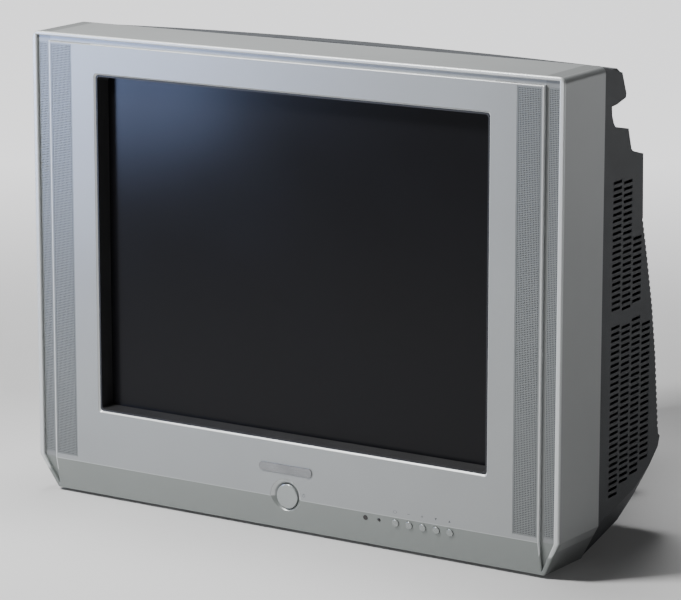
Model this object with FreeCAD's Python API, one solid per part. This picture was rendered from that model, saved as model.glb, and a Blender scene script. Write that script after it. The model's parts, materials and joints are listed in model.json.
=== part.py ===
"""A 68 cm flat-screen television with its cathode ray tube, as the separate pieces it is built from.

Millimetres. Every piece is drawn with X to the viewer's right, Y measured back from the front
plane and Z measured up from the cabinet's floor. save() then moves it into the part's own
frame: X = 0 on the centre line, Y = 0 at mid depth, Z = 0 under the feet.
"""
import FreeCAD, Part
import math
import os

V = FreeCAD.Vector
along_x = V(1, 0, 0)
along_y = V(0, 1, 0)
along_z = V(0, 0, 1)

# ---------------------------------------------------------------- driving sizes
aperture_width = 544.0        # visible screen, 4:3, 680 across the diagonal
aperture_height = 408.0
side_border = 93.6            # from the screen to the cabinet's side
top_border = 45.8
bottom_border = 106.5
foot_height = 4.0
foot_radius = 14.0

touch_gap = 0.3               # between pieces that move past each other
fit_gap = 0.05                # radial, shaft in hole
seat_gap = 0.2                # between pieces that are fastened together

# front cabinet
shell_depth = 90.5            # how far the silver shell reaches back
shell_rise = 2.0              # how much higher the shell's top is at its back edge
wall = 3.5
front_wall = 4.0
corner_radius = 8.0
chamfer_height = 41.0         # lower corners, cut off upwards
chamfer_width = 21.6          # lower corners, cut off sideways
fold_height = 39.3            # the front leans back below this line
apron_lean = 8.0              # how far back the front's lower edge is
rim_side = 6.2                # bead around the front, at the sides
rim_top = 4.2                 # and along the top
channel_width = 18.4          # between the rim and the fascia
channel_top = 5.8
channel_depth = 4.0
bead_radius = 1.6             # rounding of the rim and of the fascia's edge

# screen aperture
aperture_radius = 4.0
lip = 1.8                     # bevel around the aperture
surround_front = 2.2          # black surround, its width at the front
surround_back = 5.0           # and at the glass
surround_flange = 12.0
surround_thickness = 2.0

# perforated grilles
wide_grille_width = 31.5
wide_grille_gap = 3.0         # from the fascia's edge to the wide grille
narrow_grille_width = 14.0
narrow_grille_gap = 3.4       # from the fascia's edge to the narrow grille
grille_foot = 5.5             # grilles start this far above the fold
grille_head = 2.5             # and end this far below the fascia's top
grille_thickness = 1.0

# back cover
cover_wall = 3.0
cover_step = 1.6              # the cover is this much narrower than the shell
cover_draft = 0.08            # side walls draw in by this much per millimetre of depth
crown_radius = 8500.0         # gentle arch of the cover's top
crown_peak = 3.3              # above the cabinet's front height
hump_radius = 25.0
cap_half_width = 105.0        # the narrow end over the tube's neck
cap_drop = 105.5              # below the tube's axis
cap_rise = 101.5              # and above it
bay_half_width = 240.0        # chassis bay under the hump
bay_depth = 400.0
bay_height = 110.0

# vents
vent_pitch = 7.2
vent_height = 3.4
vent_length = 23.0
vent_bridge = 5.0             # plastic left between two slots of a row
vent_first = 29.0             # from the shell's back edge to the first slot
vent_top = 426.0
upper_rows = 21
blind_rows = 2
louvre_depth = 2.0
louvre_clear = 5.0            # from the tube's side to the louvres
louvre_slot = 34.0
louvre_start = 110.5          # the leaning back wall begins this far behind the shell
louvre_foot = 116.0
hip_back = 165.7
hip_low = 96.6

# picture tube
glass_setback = 20.0          # flat glass behind the front plane
tube_border_x = 27.0          # glass hidden behind the fascia, at the sides
tube_border_z = 26.5          # and above and below
tube_corner = 30.0
faceplate = 13.0
skirt_length = 95.0
skirt_wall = 10.0
funnel_length = 210.0
funnel_wall = 4.0
neck_radius = 14.55
neck_wall = 2.2
weld_bead = 0.25              # step where the funnel is melted to the neck
neck_length = 115.0
cap_room = 60.0               # from the end of the neck to the cap's outside
band_thickness = 1.5
lug_offset_x = 17.0           # lug holes outside the tube's side
lug_drop = 15.5               # and below the tube's top edge
lug_setback = 58.0
lug_thickness = 2.0
crt_screw_radius = 2.5
hexagon_reach = 4.6           # from the screw head's centre to its corners

# front controls
power_dish = 21.5
power_disc = 14.7
power_travel = 3.5
power_z = 40.3
power_collar = 14.0
power_dish_depth = 5.5
power_face = 2.6
power_switch_y = 40.0
spring_radius = 6.0
spring_wire = 0.6
spring_turns = 5
button_radius = 4.4
button_pitch = 18.25
button_first = 151.5
button_height = 32.4
button_travel = 0.8
button_proud = 1.4
stem_end = 10.5               # along the apron's inward normal
control_board_y = 16.0
light_back = 5.5
window_x = 110.3
window_radius = 3.0
light_x = 129.0
light_radius = 2.0

# name bar
bar_width = 74.0
bar_height = 10.0
bar_thickness = 1.2
bar_above_floor = 73.8

# chassis
board_thickness = 1.6
board_half_width = 200.0
board_front = 130.0
board_back = 385.0
board_height = 20.0
knob_radius = 6.0
flyback_x = 110.0
flyback_y = 300.0
flyback_height = 70.0
antenna_x = -150.0
antenna_z = 38.0
antenna_barrel = 6.5
antenna_bore = 4.8
rca_x = 10.0
rca_z = 34.0
rca_radius = 4.15
inlet_x = 190.0
inlet_z = 40.0
inlet_half = 14.0

# neck parts
sleeve_wall = 2.45            # former's sleeve, outside the neck's radius
ring_tube_wall = 3.15         # ring holder, outside the neck's radius
ring_first = 46.6             # first pair of rings, behind the funnel
ring_pitch = 10.0
pin_circle = 8.0
mask_y = 47.0
mask_border = 37.0
coil_radius = 4.5             # degaussing coil
coil_back = 30.0              # and its place behind the funnel's front
lead_radius = 2.4
funnel_points = 48

# loudspeakers
speaker_gap = 3.1             # between a loudspeaker and the cabinet's side
speaker_z = 205.0
speaker_half_width = 26.0
speaker_half_height = 62.0

# fastenings
rib = 3.0
boss_radius = 6.0
boss_length = 30.0
crt_boss_radius = 8.0
crt_boss_floor = 30.0
cover_screw_radius = 1.9
well_radius = 7.0
well_bore = 5.0
well_floor = 3.0

# ---------------------------------------------------------------- worked-out sizes
half_width = aperture_width / 2 + side_border
height = bottom_border + aperture_height + top_border
aperture_bottom = bottom_border
tube_half_width = aperture_width / 2 + tube_border_x
tube_half_height = aperture_height / 2 + tube_border_z
rim_inner = half_width - rim_side
fascia_half = rim_inner - channel_width
fascia_top = height - rim_top - channel_top
aperture_top = aperture_bottom + aperture_height
tube_z = aperture_bottom + aperture_height / 2
power_guide = power_disc + touch_gap
sleeve_radius = neck_radius + sleeve_wall
ring_seat = neck_radius + ring_tube_wall
louvre_inner = tube_half_width + louvre_clear
shell_top_back = height + shell_rise
cover_half = half_width - cover_step
wide_grille_out = fascia_half - wide_grille_gap
wide_grille_in = wide_grille_out - wide_grille_width
narrow_grille_in = fascia_half + narrow_grille_gap
narrow_grille_out = narrow_grille_in + narrow_grille_width
grille_bottom = fold_height + grille_foot
grille_top = fascia_top - grille_head
seal_y = glass_setback + skirt_length
neck_start = seal_y + funnel_length
neck_end = neck_start + neck_length
depth = neck_end + cap_room
cap_bottom = tube_z - cap_drop
cap_top = tube_z + cap_rise
speaker_x = half_width - wall - speaker_gap - speaker_half_width
well_places = [(half_width - 16.6, height - 27.3), (half_width - 19.6, tube_z - 40.5),
               (aperture_width / 2 - 122, height - 11.2), (aperture_width / 2 + 28, 32.0)]
lug_x = tube_half_width + lug_offset_x
lug_z = tube_half_height - lug_drop
apron_angle = math.atan2(apron_lean, fold_height)
apron_in = V(0, math.cos(apron_angle), math.sin(apron_angle))


# ---------------------------------------------------------------- small helpers
def box(x0, x1, y0, y1, z0, z1):
    """A block between two corners."""
    return Part.makeBox(x1 - x0, y1 - y0, z1 - z0, V(x0, y0, z0))


def rod(x, z, y0, y1, radius):
    """A round bar along Y."""
    return Part.makeCylinder(radius, y1 - y0, V(x, y0, z), along_y)


def pipe(x, z, y0, y1, outer, inner):
    """A round bar along Y with a hole through it."""
    return rod(x, z, y0, y1, outer).cut(rod(x, z, y0, y1, inner))


def fuse(shapes):
    """One clean solid from several."""
    whole = shapes[0].multiFuse(shapes[1:])
    return whole.removeSplitter()


def mirrored(shape):
    """The same piece on the other side of the centre line."""
    return shape.mirror(V(0, 0, 0), along_x)


def inset_polygon(points, insets):
    """Move each side of an anticlockwise polygon inwards by its own inset."""
    count = len(points)
    lines = []
    for i in range(count):
        (ax, ay), (bx, by) = points[i], points[(i + 1) % count]
        length = math.hypot(bx - ax, by - ay)
        ux, uy = (bx - ax) / length, (by - ay) / length
        lines.append((ax - uy * insets[i], ay + ux * insets[i], ux, uy))
    corners = []
    for i in range(count):
        px, py, ux, uy = lines[i - 1]
        qx, qy, vx, vy = lines[i]
        step = ((qx - px) * vy - (qy - py) * vx) / (ux * vy - uy * vx)
        corners.append((px + ux * step, py + uy * step))
    return corners


def prism_x(outline, x0, x1):
    """Extrude a (Y, Z) outline along X."""
    corners = [V(x0, y, z) for y, z in outline]
    return Part.Face(Part.makePolygon(corners + corners[:1])).extrude(V(x1 - x0, 0, 0))


def prism_y(outline, y0, y1):
    """Extrude an (X, Z) outline along Y."""
    corners = [V(x, y0, z) for x, z in outline]
    return Part.Face(Part.makePolygon(corners + corners[:1])).extrude(V(0, y1 - y0, 0))


def edges_along(shape, direction):
    """The straight edges of a shape that run along one direction."""
    chosen = []
    for edge in shape.Edges:
        if edge.Curve.TypeId == "Part::GeomLine":
            if abs(abs(edge.tangentAt(edge.FirstParameter).dot(direction)) - 1) < 1e-6:
                chosen.append(edge)
    return chosen


def rounded_block(half_x, z0, z1, y0, y1, radius, x=0.0):
    """A block with its four edges along Y rounded."""
    block = box(x - half_x, x + half_x, y0, y1, z0, z1)
    return block.makeFillet(radius, edges_along(block, along_y))


def rounded_wire(half_x, z0, z1, radius, y):
    """The outline of a rounded rectangle standing at one depth."""
    thin = rounded_block(half_x, z0, z1, y, y + 1, radius)
    for face in thin.Faces:
        if abs(face.CenterOfMass.y - y) < 1e-6:
            return face.OuterWire
    raise ValueError("no outline at this depth")


def revolve_y(outline, z=None):
    """Turn a closed (distance along Y, radius) outline around the tube's axis."""
    axis_z = tube_z if z is None else z
    corners = [V(radius, y, axis_z) for y, radius in outline]
    face = Part.Face(Part.makePolygon(corners + corners[:1]))
    return face.revolve(V(0, 0, axis_z), along_y, 360)


def bent_path(points):
    """Straight runs joined by tangent arcs, each as large as its two runs allow."""
    edges = []
    start = points[0]
    for before, corner, after in zip(points, points[1:], points[2:]):
        come = (corner - before).normalize()
        leave = (after - corner).normalize()
        turn = math.acos(max(-1.0, min(1.0, come.dot(leave))))
        shorter = min(corner.distanceToPoint(before), corner.distanceToPoint(after))
        radius = 0.45 * shorter / math.tan(turn / 2)
        cut = radius * math.tan(turn / 2)
        first = corner - come * cut
        last = corner + leave * cut
        middle_way = (leave - come).normalize()
        centre = corner + middle_way * (radius / math.cos(turn / 2))
        middle = centre - middle_way * radius
        edges.append(Part.LineSegment(start, first).toShape())
        edges.append(Part.Arc(first, middle, last).toShape())
        start = last
    edges.append(Part.LineSegment(start, points[-1]).toShape())
    return Part.Wire(edges)


def tube_along(path, radius):
    """A round solid swept along a path."""
    start = path.Edges[0]
    section = Part.makeCircle(radius, start.valueAt(start.FirstParameter),
                              start.tangentAt(start.FirstParameter))
    return path.makePipeShell([Part.Wire([section])], True, True)


def save(name, shape):
    """Move a piece into the part's frame and write it."""
    shape = shape.copy()
    shape.translate(V(0, (bar_thickness - depth) / 2, foot_height))
    shape.exportStep(os.path.join("parts", name + ".step"))
    print(f"{name}: {len(shape.Solids)} solids, {shape.Volume / 1000:.1f} cm3, valid {shape.isValid()}")


# ---------------------------------------------------------------- front cabinet
def cabinet_outline(side, top, bottom, chamfer):
    """The cabinet seen from the front, each side moved in by its own amount."""
    flat_half = half_width - chamfer_width
    points = [(-flat_half, 0), (flat_half, 0), (half_width, chamfer_height),
              (half_width, height), (-half_width, height), (-half_width, chamfer_height)]
    return inset_polygon(points, [bottom, chamfer, side, top, side, chamfer])


def cabinet_body(front, sides, back):
    """The cabinet's outer form moved inwards, with its front leaning back below the fold."""
    profile = [(apron_lean, 0), (shell_depth, 0), (shell_depth, shell_top_back),
               (0, height), (0, fold_height)]
    profile = inset_polygon(profile, [sides, back, sides, front, front])
    block = prism_y(cabinet_outline(sides, -2 * shell_rise, sides, sides), -1, shell_depth + 5)
    block = block.common(prism_x(profile, -half_width - 1, half_width + 1))
    top_corners = []
    for edge in block.Edges:
        at = edge.CenterOfMass
        if edge.Length > shell_depth / 2 and at.z > height - sides - 1 and abs(at.x) > fascia_half:
            top_corners.append(edge)
    return block.makeFillet(corner_radius - sides, top_corners)


def front_depth(z):
    """How far the front's surface lies behind the front plane at a height."""
    return apron_lean * max(0.0, fold_height - z) / fold_height


def front_slab(near, far):
    """A layer that follows the front, between two depths behind its surface."""
    low = -5.0
    high = height + 10
    outline = [(near + front_depth(low), low), (far + front_depth(low), low), (far, fold_height),
               (far, high), (near, high), (near, fold_height)]
    return prism_x(outline, -half_width - 5, half_width + 5)


def on_apron(x, along, length, radius):
    """A round bar square to the leaning apron, from a distance along its inward normal."""
    start = V(x, front_depth(button_height), button_height) + apron_in * along
    return Part.makeCylinder(radius, length, start, apron_in)


def aperture_block(grow, y0, y1):
    """A block through the screen aperture, larger all round by grow."""
    return rounded_block(aperture_width / 2 + grow, aperture_bottom - grow, aperture_top + grow,
                         y0, y1, aperture_radius)


def aperture_taper(grow0, y0, grow1, y1):
    """A block through the aperture whose size changes evenly from one depth to another."""
    ends = []
    for grow, y in ((grow0, y0), (grow1, y1)):
        ends.append(rounded_wire(aperture_width / 2 + grow, aperture_bottom - grow,
                                 aperture_top + grow, aperture_radius, y))
    return Part.makeLoft(ends, True, True)


def front_edges(shell):
    """The edges that lie in the front's surface, apart from its lower edge and the fold."""
    chosen = []
    for edge in shell.Edges:
        spots = [vertex.Point for vertex in edge.Vertexes] + [edge.CenterOfMass]
        on_front = all(abs(spot.y - front_depth(spot.z)) < 0.01 for spot in spots)
        is_fold = all(abs(spot.z - fold_height) < 0.01 for spot in spots)
        is_foot = all(spot.z < 0.01 for spot in spots)
        if on_front and not is_fold and not is_foot:
            chosen.append(edge)
    return chosen


def cover_bosses():
    """Bosses along the shell's back edge that take the back cover's screws."""
    bosses = []
    front_end = shell_depth - boss_length
    for x, z in well_places:
        post = rod(x, z, front_end, shell_depth, boss_radius)
        if z > aperture_top:
            post = post.fuse(box(x - rib / 2, x + rib / 2, front_end, shell_depth, z, height))
        if z < aperture_bottom:
            post = post.fuse(box(x - rib / 2, x + rib / 2, front_end, shell_depth, 0, z))
        if x > tube_half_width + boss_radius:
            post = post.fuse(box(x, half_width, front_end, shell_depth, z - rib / 2, z + rib / 2))
        post = post.common(cabinet_body(0, wall / 2, 0))
        post = post.cut(rod(x, z, front_end + rib, shell_depth + 1, cover_screw_radius + fit_gap))
        bosses += [post, mirrored(post)]
    return bosses


def crt_bosses():
    """Four pillars behind the fascia that the tube's lugs are screwed to."""
    pillars = []
    for side in (-1, 1):
        for rise in (-1, 1):
            x, z = side * lug_x, tube_z + rise * lug_z
            pillar = rod(x, z, front_wall - 0.5, lug_setback, crt_boss_radius)
            pillars.append(pillar.cut(rod(x, z, crt_boss_floor, lug_setback + 1, crt_screw_radius + fit_gap)))
    return pillars


def grille_block(inner, outer, y0, y1, gap):
    """A block where a grille on the right side goes, larger all round by gap."""
    return box(inner - gap, outer + gap, y0, y1, grille_bottom - gap, grille_top + gap)


def sound_window(y0, y1):
    """The opening behind the right wide grille, in front of the loudspeaker."""
    return box(wide_grille_in + 3, wide_grille_out - 3, y0, y1,
               speaker_z - speaker_half_height + 8, speaker_z + speaker_half_height - 8)


def front_cabinet():
    """Silver shell, rim, channels and fascia as one moulding."""
    outer = cabinet_body(0, 0, 0)
    rim_line = cabinet_outline(rim_side, rim_top, -5, rim_side - 1)
    plate = [(-fascia_half, -5), (fascia_half, -5), (fascia_half, fascia_top), (-fascia_half, fascia_top)]
    ring = prism_y(rim_line, -3, 30).cut(prism_y(plate, -4, 31))
    shell = outer.cut(ring.common(front_slab(-2, channel_depth)))
    shell = shell.makeFillet(bead_radius, front_edges(shell))
    shell = shell.cut(cabinet_body(front_wall, wall, -2))
    backing = prism_y(cabinet_outline(wall / 2, wall / 2, -5, wall / 2), -3, 30)
    hollow = fascia_half - front_wall
    backing = backing.cut(box(-hollow, hollow, -4, 31, -6, fascia_top - front_wall))
    backing = backing.common(front_slab(channel_depth, channel_depth + front_wall)).common(outer)
    collar = rod(0, power_z, front_wall / 2, power_collar, power_dish)
    collar = collar.common(front_slab(front_wall / 2, power_collar))
    shell = shell.multiFuse([backing, collar] + cover_bosses() + crt_bosses())
    cuts = [aperture_block(0, -5, 30), aperture_taper(lip + 0.5, -0.5, 0, lip),
            Part.makeCone(power_dish, power_guide, power_dish_depth, V(0, 0, power_z), along_y),
            rod(0, power_z, -1, power_collar + 1, power_guide)]
    pockets = [grille_block(wide_grille_in, wide_grille_out, -1, grille_thickness + seat_gap, 0),
               grille_block(narrow_grille_in, narrow_grille_out, 0, channel_depth + grille_thickness, 0),
               sound_window(-1, front_wall + 2)]
    for pocket in pockets:
        cuts += [pocket, mirrored(pocket)]
    for index in range(5):
        x = button_first + index * button_pitch
        cuts.append(on_apron(x, -3, front_wall + 6, button_radius + touch_gap))
    cuts.append(on_apron(window_x, -3, front_wall + 6, window_radius + seat_gap))
    cuts.append(on_apron(light_x, -3, front_wall + 6, light_radius + seat_gap))
    for cut in cuts:
        shell = shell.cut(cut)
    return shell


# ---------------------------------------------------------------- pieces on the front
def screen_surround():
    """Black frame between the aperture and the glass, with a flange behind the fascia."""
    ring = aperture_block(-seat_gap, lip, glass_setback - seat_gap)
    behind = front_wall + seat_gap
    flange = aperture_block(surround_flange, behind, behind + surround_thickness)
    hole = aperture_taper(-surround_front, lip - 0.5, -surround_back, glass_setback + 0.5)
    return ring.fuse(flange).cut(hole).removeSplitter()


def wide_grille():
    """Perforated sheet in front of the right loudspeaker."""
    return grille_block(wide_grille_in, wide_grille_out, 0.2, 0.2 + grille_thickness, -seat_gap)


def narrow_grille():
    """Perforated strip in the right channel."""
    return grille_block(narrow_grille_in, narrow_grille_out, channel_depth, channel_depth + grille_thickness,
                        -seat_gap)


def name_bar():
    """Plain bar where a maker would put a name."""
    return rounded_block(bar_width / 2, bar_above_floor - bar_height / 2, bar_above_floor + bar_height / 2,
                         -bar_thickness, 0, bar_height / 2 - 0.5)


def apron_placed(shape):
    """Turn a piece drawn square to the front so that it stands square to the leaning apron."""
    shape.rotate(V(0, 0, 0), along_x, math.degrees(apron_angle))
    shape.translate(V(0, front_depth(button_height), button_height))
    return shape


def small_button(x):
    """Round push button with a retaining flange and a stem towards its switch."""
    cap = rod(x, 0, -button_proud, front_wall + touch_gap + 1, button_radius)
    front_rim = [e for e in cap.Edges if abs(e.CenterOfMass.y + button_proud) < 1e-6]
    cap = cap.makeFillet(0.8, front_rim)
    flange_front = front_wall + touch_gap
    flange = rod(x, 0, flange_front, flange_front + 1.5, button_radius + 1.6)
    stem = rod(x, 0, flange_front, stem_end, 2.0)
    return apron_placed(fuse([cap, flange, stem]))


def tact_switches():
    """The five small switches behind the buttons."""
    switches = []
    for index in range(5):
        x = button_first + index * button_pitch
        plunger = rod(x, 0, stem_end + button_travel + touch_gap, control_board_y - 2, 1.7)
        body = box(x - 3, x + 3, control_board_y - 3.5, control_board_y, -3, 3)
        switches.append(apron_placed(fuse([plunger, body])))
    return Part.makeCompound(switches)


def control_board():
    """Circuit board that carries the small switches, the receiver window and the light."""
    half = 12.0
    last = button_first + 4 * button_pitch
    board = box(window_x - half, last + half, control_board_y, control_board_y + board_thickness, -16, 20)
    posts = [rod(x, 0, light_back, control_board_y + 0.1, 1.5) for x in (window_x, light_x)]
    return apron_placed(fuse([board] + posts))


def remote_window():
    """Dark window over the remote-control receiver."""
    return apron_placed(rod(window_x, 0, -0.3, light_back, window_radius))


def standby_light():
    """Small domed light."""
    body = rod(light_x, 0, -0.2, light_back, light_radius)
    rim = [e for e in body.Edges if abs(e.CenterOfMass.y + 0.2) < 1e-6]
    return apron_placed(body.makeFillet(1.2, rim))


def power_button():
    """Large round button with a flange behind its collar and a stem into the mains switch."""
    disc = rod(0, power_z, power_face, power_collar, power_disc)
    rim = [e for e in disc.Edges if abs(e.CenterOfMass.y - power_face) < 1e-6]
    disc = disc.makeFillet(1.2, rim)
    hollow = rod(0, power_z, power_face + 3, power_collar - 1.5, power_disc - 2)
    flange = rod(0, power_z, power_collar + touch_gap, power_collar + touch_gap + 1.5, power_disc + 2.3)
    hub = rod(0, power_z, power_collar - 1.5, power_collar + touch_gap + 1.5, power_disc - 1)
    stem = rod(0, power_z, power_face + 1, power_switch_y - 2, 4.0)
    return fuse([disc.cut(hollow), hub, flange, stem])


def power_spring():
    """Compression spring around the power button's stem."""
    start = power_collar + touch_gap + 1.7
    length = power_switch_y - 0.2 - start
    points = []
    for step in range(8 * spring_turns + 1):
        turn = math.pi * step / 4
        y = start + spring_wire + (length - 2 * spring_wire) * step / (8 * spring_turns)
        points.append(V(spring_radius * math.cos(turn), y, power_z + spring_radius * math.sin(turn)))
    path = bent_path(points)
    return tube_along(path, spring_wire)


def power_switch():
    """Mains switch on a bracket from the cabinet's floor, bored for the button's stem."""
    body = box(-15, 15, power_switch_y, power_switch_y + 24, power_z - 13, power_z + 14)
    bracket = box(-12, 12, power_switch_y + 6, power_switch_y + 9, wall + seat_gap, power_z)
    foot = box(-12, 12, power_switch_y + 6, power_switch_y + 24, wall + seat_gap, wall + seat_gap + 2)
    lugs = [box(x - 1, x + 1, power_switch_y + 24, power_switch_y + 30, power_z - 4, power_z + 4)
            for x in (-10, -4, 4, 10)]
    body = fuse([body, bracket, foot] + lugs)
    return body.cut(rod(0, power_z, power_switch_y - 1, power_switch_y + power_travel + 2, 4.0 + touch_gap))


# ---------------------------------------------------------------- back cover
def side_profile():
    """The cover from the side: a grip ear, two steps, a louvred back that leans out, a hip."""
    upper = [(170.6, 108.4), (165.8, 111.9)]
    slanted = [(153.8, 353.6), (141.7, 292.3), (124.6, 230.4), (110.8, 185.9), (108.4, 109.8),
               (80.4, 103.0), (75.8, 100.0), (66.8, 75.6), (31.8, 69.2), (27.3, 65.1), (22.3, 55.2),
               (21.5, 45.4), (35.0, 44.5), (58.0, 39.8), (59.5, 35.4), (47.5, 10.3), (0, -0.5)]
    outline = [(shell_depth, -30), (shell_depth + hip_back, -30), (shell_depth + hip_back, hip_low)]
    outline += [(shell_depth + back, z) for back, z in upper]
    outline += [(shell_depth + back, height - drop) for back, drop in slanted]
    return outline


def louvred_back(z):
    """How far behind the front plane the leaning back wall is at a height."""
    points = [(y, level) for y, level in side_profile() if y > shell_depth + louvre_start]
    for (y0, z0), (y1, z1) in zip(points, points[1:]):
        if min(z0, z1) <= z <= max(z0, z1) and z1 > z0:
            return y0 + (y1 - y0) * (z - z0) / (z1 - z0)
    return None


# side wall: distance behind the shell's back edge, and the height of the wall's lower edge
underside = [(0.0, 41.0), (100.0, 61.3), (143.0, 80.0), (166.0, 97.0), (190.0, 118.0)]


def side_wall_foot(y):
    """Height of the side wall's lower edge at a depth."""
    back = y - shell_depth
    for (b0, z0), (b1, z1) in zip(underside, underside[1:]):
        if b0 <= back <= b1:
            return z0 + (z1 - z0) * (back - b0) / (b1 - b0)
    return underside[-1][1]


def wing_section(y, side_y, foot, inset):
    """The cover's cross-section at one depth, with its lower corners cut off."""
    side = cover_half - cover_draft * (side_y - shell_depth)
    top = height + 60
    points = [(chamfer_width - side, foot - chamfer_height), (side - chamfer_width, foot - chamfer_height),
              (side, foot), (side, top), (-side, top), (-side, foot)]
    corners = [V(x, y, z) for x, z in inset_polygon(points, [inset] * 6)]
    return Part.makePolygon(corners + corners[:1])


def cover_wings(inset, front):
    """The wide part of the cover behind the shell."""
    sections = [wing_section(front, shell_depth, underside[0][1], inset)] if front < shell_depth else []
    for back, foot in underside:
        sections.append(wing_section(shell_depth + back, shell_depth + back, foot, inset))
    envelope = Part.makeLoft(sections, True, True)
    outline = side_profile()
    insets = [inset] * len(outline)
    insets[-1] = front - shell_depth
    return envelope.common(prism_x(inset_polygon(outline, insets), -half_width, half_width))


def cover_crown(inset, front):
    """The low arch along the cover's top edge."""
    centre = V(0, front, height + crown_peak - crown_radius)
    arch = Part.makeCylinder(crown_radius - inset, 60, centre, along_y)
    outline = [(front, height - 36), (shell_depth + 45 - inset, height - 36),
               (shell_depth + 47.5 - inset, height - 12), (shell_depth + 21.5 - inset, height + 4),
               (front, height + 4)]
    reach = cover_half - 4 - inset
    return arch.common(prism_x(outline, -reach, reach))


def cover_hump(inset, front):
    """The tapering body over the tube's funnel and neck."""
    belly_y = seal_y + 0.29 * funnel_length
    waist_y = neck_start + 5
    stations = [(shell_depth, tube_half_width + 13, 45.0, height - 1.3),
                (belly_y, tube_half_width - 1, 45.0, height - 15.3),
                (waist_y, cap_half_width + 95, 60.0, cap_top + 18),
                (depth - inset, cap_half_width, cap_bottom, cap_top)]
    if front < shell_depth:
        stations[0] = (front,) + stations[0][1:]
    sections = [rounded_wire(half - inset, low + inset, high - inset, hump_radius - inset, y)
                for y, half, low, high in stations]
    return Part.makeLoft(sections, True, True)


def cover_volume(inset):
    """Everything inside the cover's surface, or inside its wall when inset is the wall."""
    front = shell_depth - (6.0 if inset else 0.0)
    reach = bay_half_width - inset
    bay = box(-reach, reach, front, bay_depth - inset, inset, bay_height - inset)
    return cover_wings(inset, front).multiFuse([cover_crown(inset, front), cover_hump(inset, front), bay])


def side_slots():
    """Rows of short slots through the side walls, each column half a row lower than the last."""
    slots = []
    step = vent_length + vent_bridge
    blind = range(upper_rows, upper_rows + blind_rows)
    for row in range(int((vent_top - side_wall_foot(shell_depth)) / vent_pitch)):
        for column in range(4):
            z = vent_top - vent_pitch * (row + 0.5 * (column % 2))
            y = shell_depth + vent_first + column * step
            back_wall = louvred_back(z) or shell_depth + louvre_start
            clear_back = y + vent_length < back_wall - 8
            clear_foot = z > side_wall_foot(y + vent_length) + 14
            if row not in blind and clear_back and clear_foot:
                wall_x = cover_half - cover_draft * (y - shell_depth)
                slots.append(box(wall_x - 8, wall_x + 5, y, y + vent_length, z, z + vent_height))
    return slots


def back_louvres():
    """Grooves round the rear corner, and slots through the back wall between them."""
    grooves, slots = [], []
    rows = int((vent_top - 110) / vent_pitch)
    for row in range(rows):
        z = vent_top - vent_pitch * (row + 0.5)
        back_wall = louvred_back(z)
        if back_wall is None or z < louvre_foot:
            continue
        top = z + vent_height
        grooves.append(box(louvre_inner, half_width, back_wall - louvre_depth, back_wall + 20, z, top))
        slots.append(box(louvre_inner + 2, louvre_inner + louvre_slot, back_wall - 9, back_wall + 9, z, top))
    return grooves, slots


def hump_slots():
    """Slots in the sloping top of the hump and in the end of the cap."""
    slots = []
    for row in range(12):
        y = seal_y + 100 + row * 9.0
        for x in (-100, 20):
            slots.append(box(x, x + 80, y, y + vent_height, cap_top - 10, height + 10))
    for row in range(10):
        z = tube_z - 45 + row * 9.0
        for x in (-75, 15):
            slots.append(box(x, x + 60, depth - 8, depth + 2, z, z + vent_height))
    return slots


def socket_holes():
    """Holes in the chassis bay's back wall for the sockets."""
    holes = [rod(x, z, bay_depth - 8, bay_depth + 2, rca_radius + touch_gap) for x, z in rca_places()]
    holes.append(rod(antenna_x, antenna_z, bay_depth - 8, bay_depth + 2, antenna_barrel + touch_gap))
    holes.append(box(inlet_x - inlet_half - seat_gap, inlet_x + inlet_half + seat_gap, bay_depth - 8,
                     bay_depth + 2, inlet_z - 10 - seat_gap, inlet_z + 10 + seat_gap))
    return holes


def board_posts():
    """Posts on the bay's floor that the main board rests on."""
    posts = []
    foot = cover_wall / 2
    for x in (-board_half_width + 10, board_half_width - 10):
        for y in (board_front + 12, board_back - 12):
            posts.append(Part.makeCylinder(4, board_height - foot, V(x, y, foot), along_z))
    return posts


def back_cover():
    """Charcoal cover with grips, screw wells, vents and the socket panel."""
    outside = cover_volume(0)
    cover = outside.cut(cover_volume(cover_wall))
    wells, bores = [], []
    for x, z in well_places:
        well = rod(x, z, shell_depth, depth - cap_room, well_radius).common(outside)
        bore = rod(x, z, shell_depth + well_floor, depth, well_bore)
        hole = rod(x, z, shell_depth - 1, shell_depth + well_floor + 1, cover_screw_radius + touch_gap)
        wells += [well, mirrored(well)]
        bores += [bore, mirrored(bore), hole, mirrored(hole)]
    cover = cover.multiFuse(wells + board_posts())
    grooves, louvres = back_louvres()
    right_side = side_slots() + louvres
    openings = right_side + [mirrored(slot) for slot in right_side] + hump_slots()
    grooves = grooves + [mirrored(groove) for groove in grooves]
    for cuts in (bores, grooves, openings, socket_holes()):
        cover = cover.cut(Part.makeCompound(cuts))
    return cover


def cover_screws():
    """Eight screws at the bottom of the cover's wells."""
    screws = []
    head_y = shell_depth + well_floor
    for x, z in well_places:
        shank = rod(x, z, head_y - 22, head_y, cover_screw_radius)
        head = rod(x, z, head_y, head_y + 2.6, 3.8)
        slot = box(x - 0.5, x + 0.5, head_y + 1.4, head_y + 3, z - 2.4, z + 2.4)
        cross = box(x - 2.4, x + 2.4, head_y + 1.4, head_y + 3, z - 0.5, z + 0.5)
        screw = shank.fuse(head).cut(slot).cut(cross)
        screws += [screw, mirrored(screw)]
    return Part.makeCompound(screws)


def rubber_feet():
    """Four feet, two under the shell and two under the chassis bay."""
    feet = []
    for x, y in ((aperture_width / 2 + 18, 60.0), (bay_half_width - 40, bay_depth - 30)):
        tread = Part.makeCone(foot_radius - 1, foot_radius, foot_height, V(x, y, -foot_height), along_z)
        feet += [tread, mirrored(tread)]
    return Part.makeCompound(feet)


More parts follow.
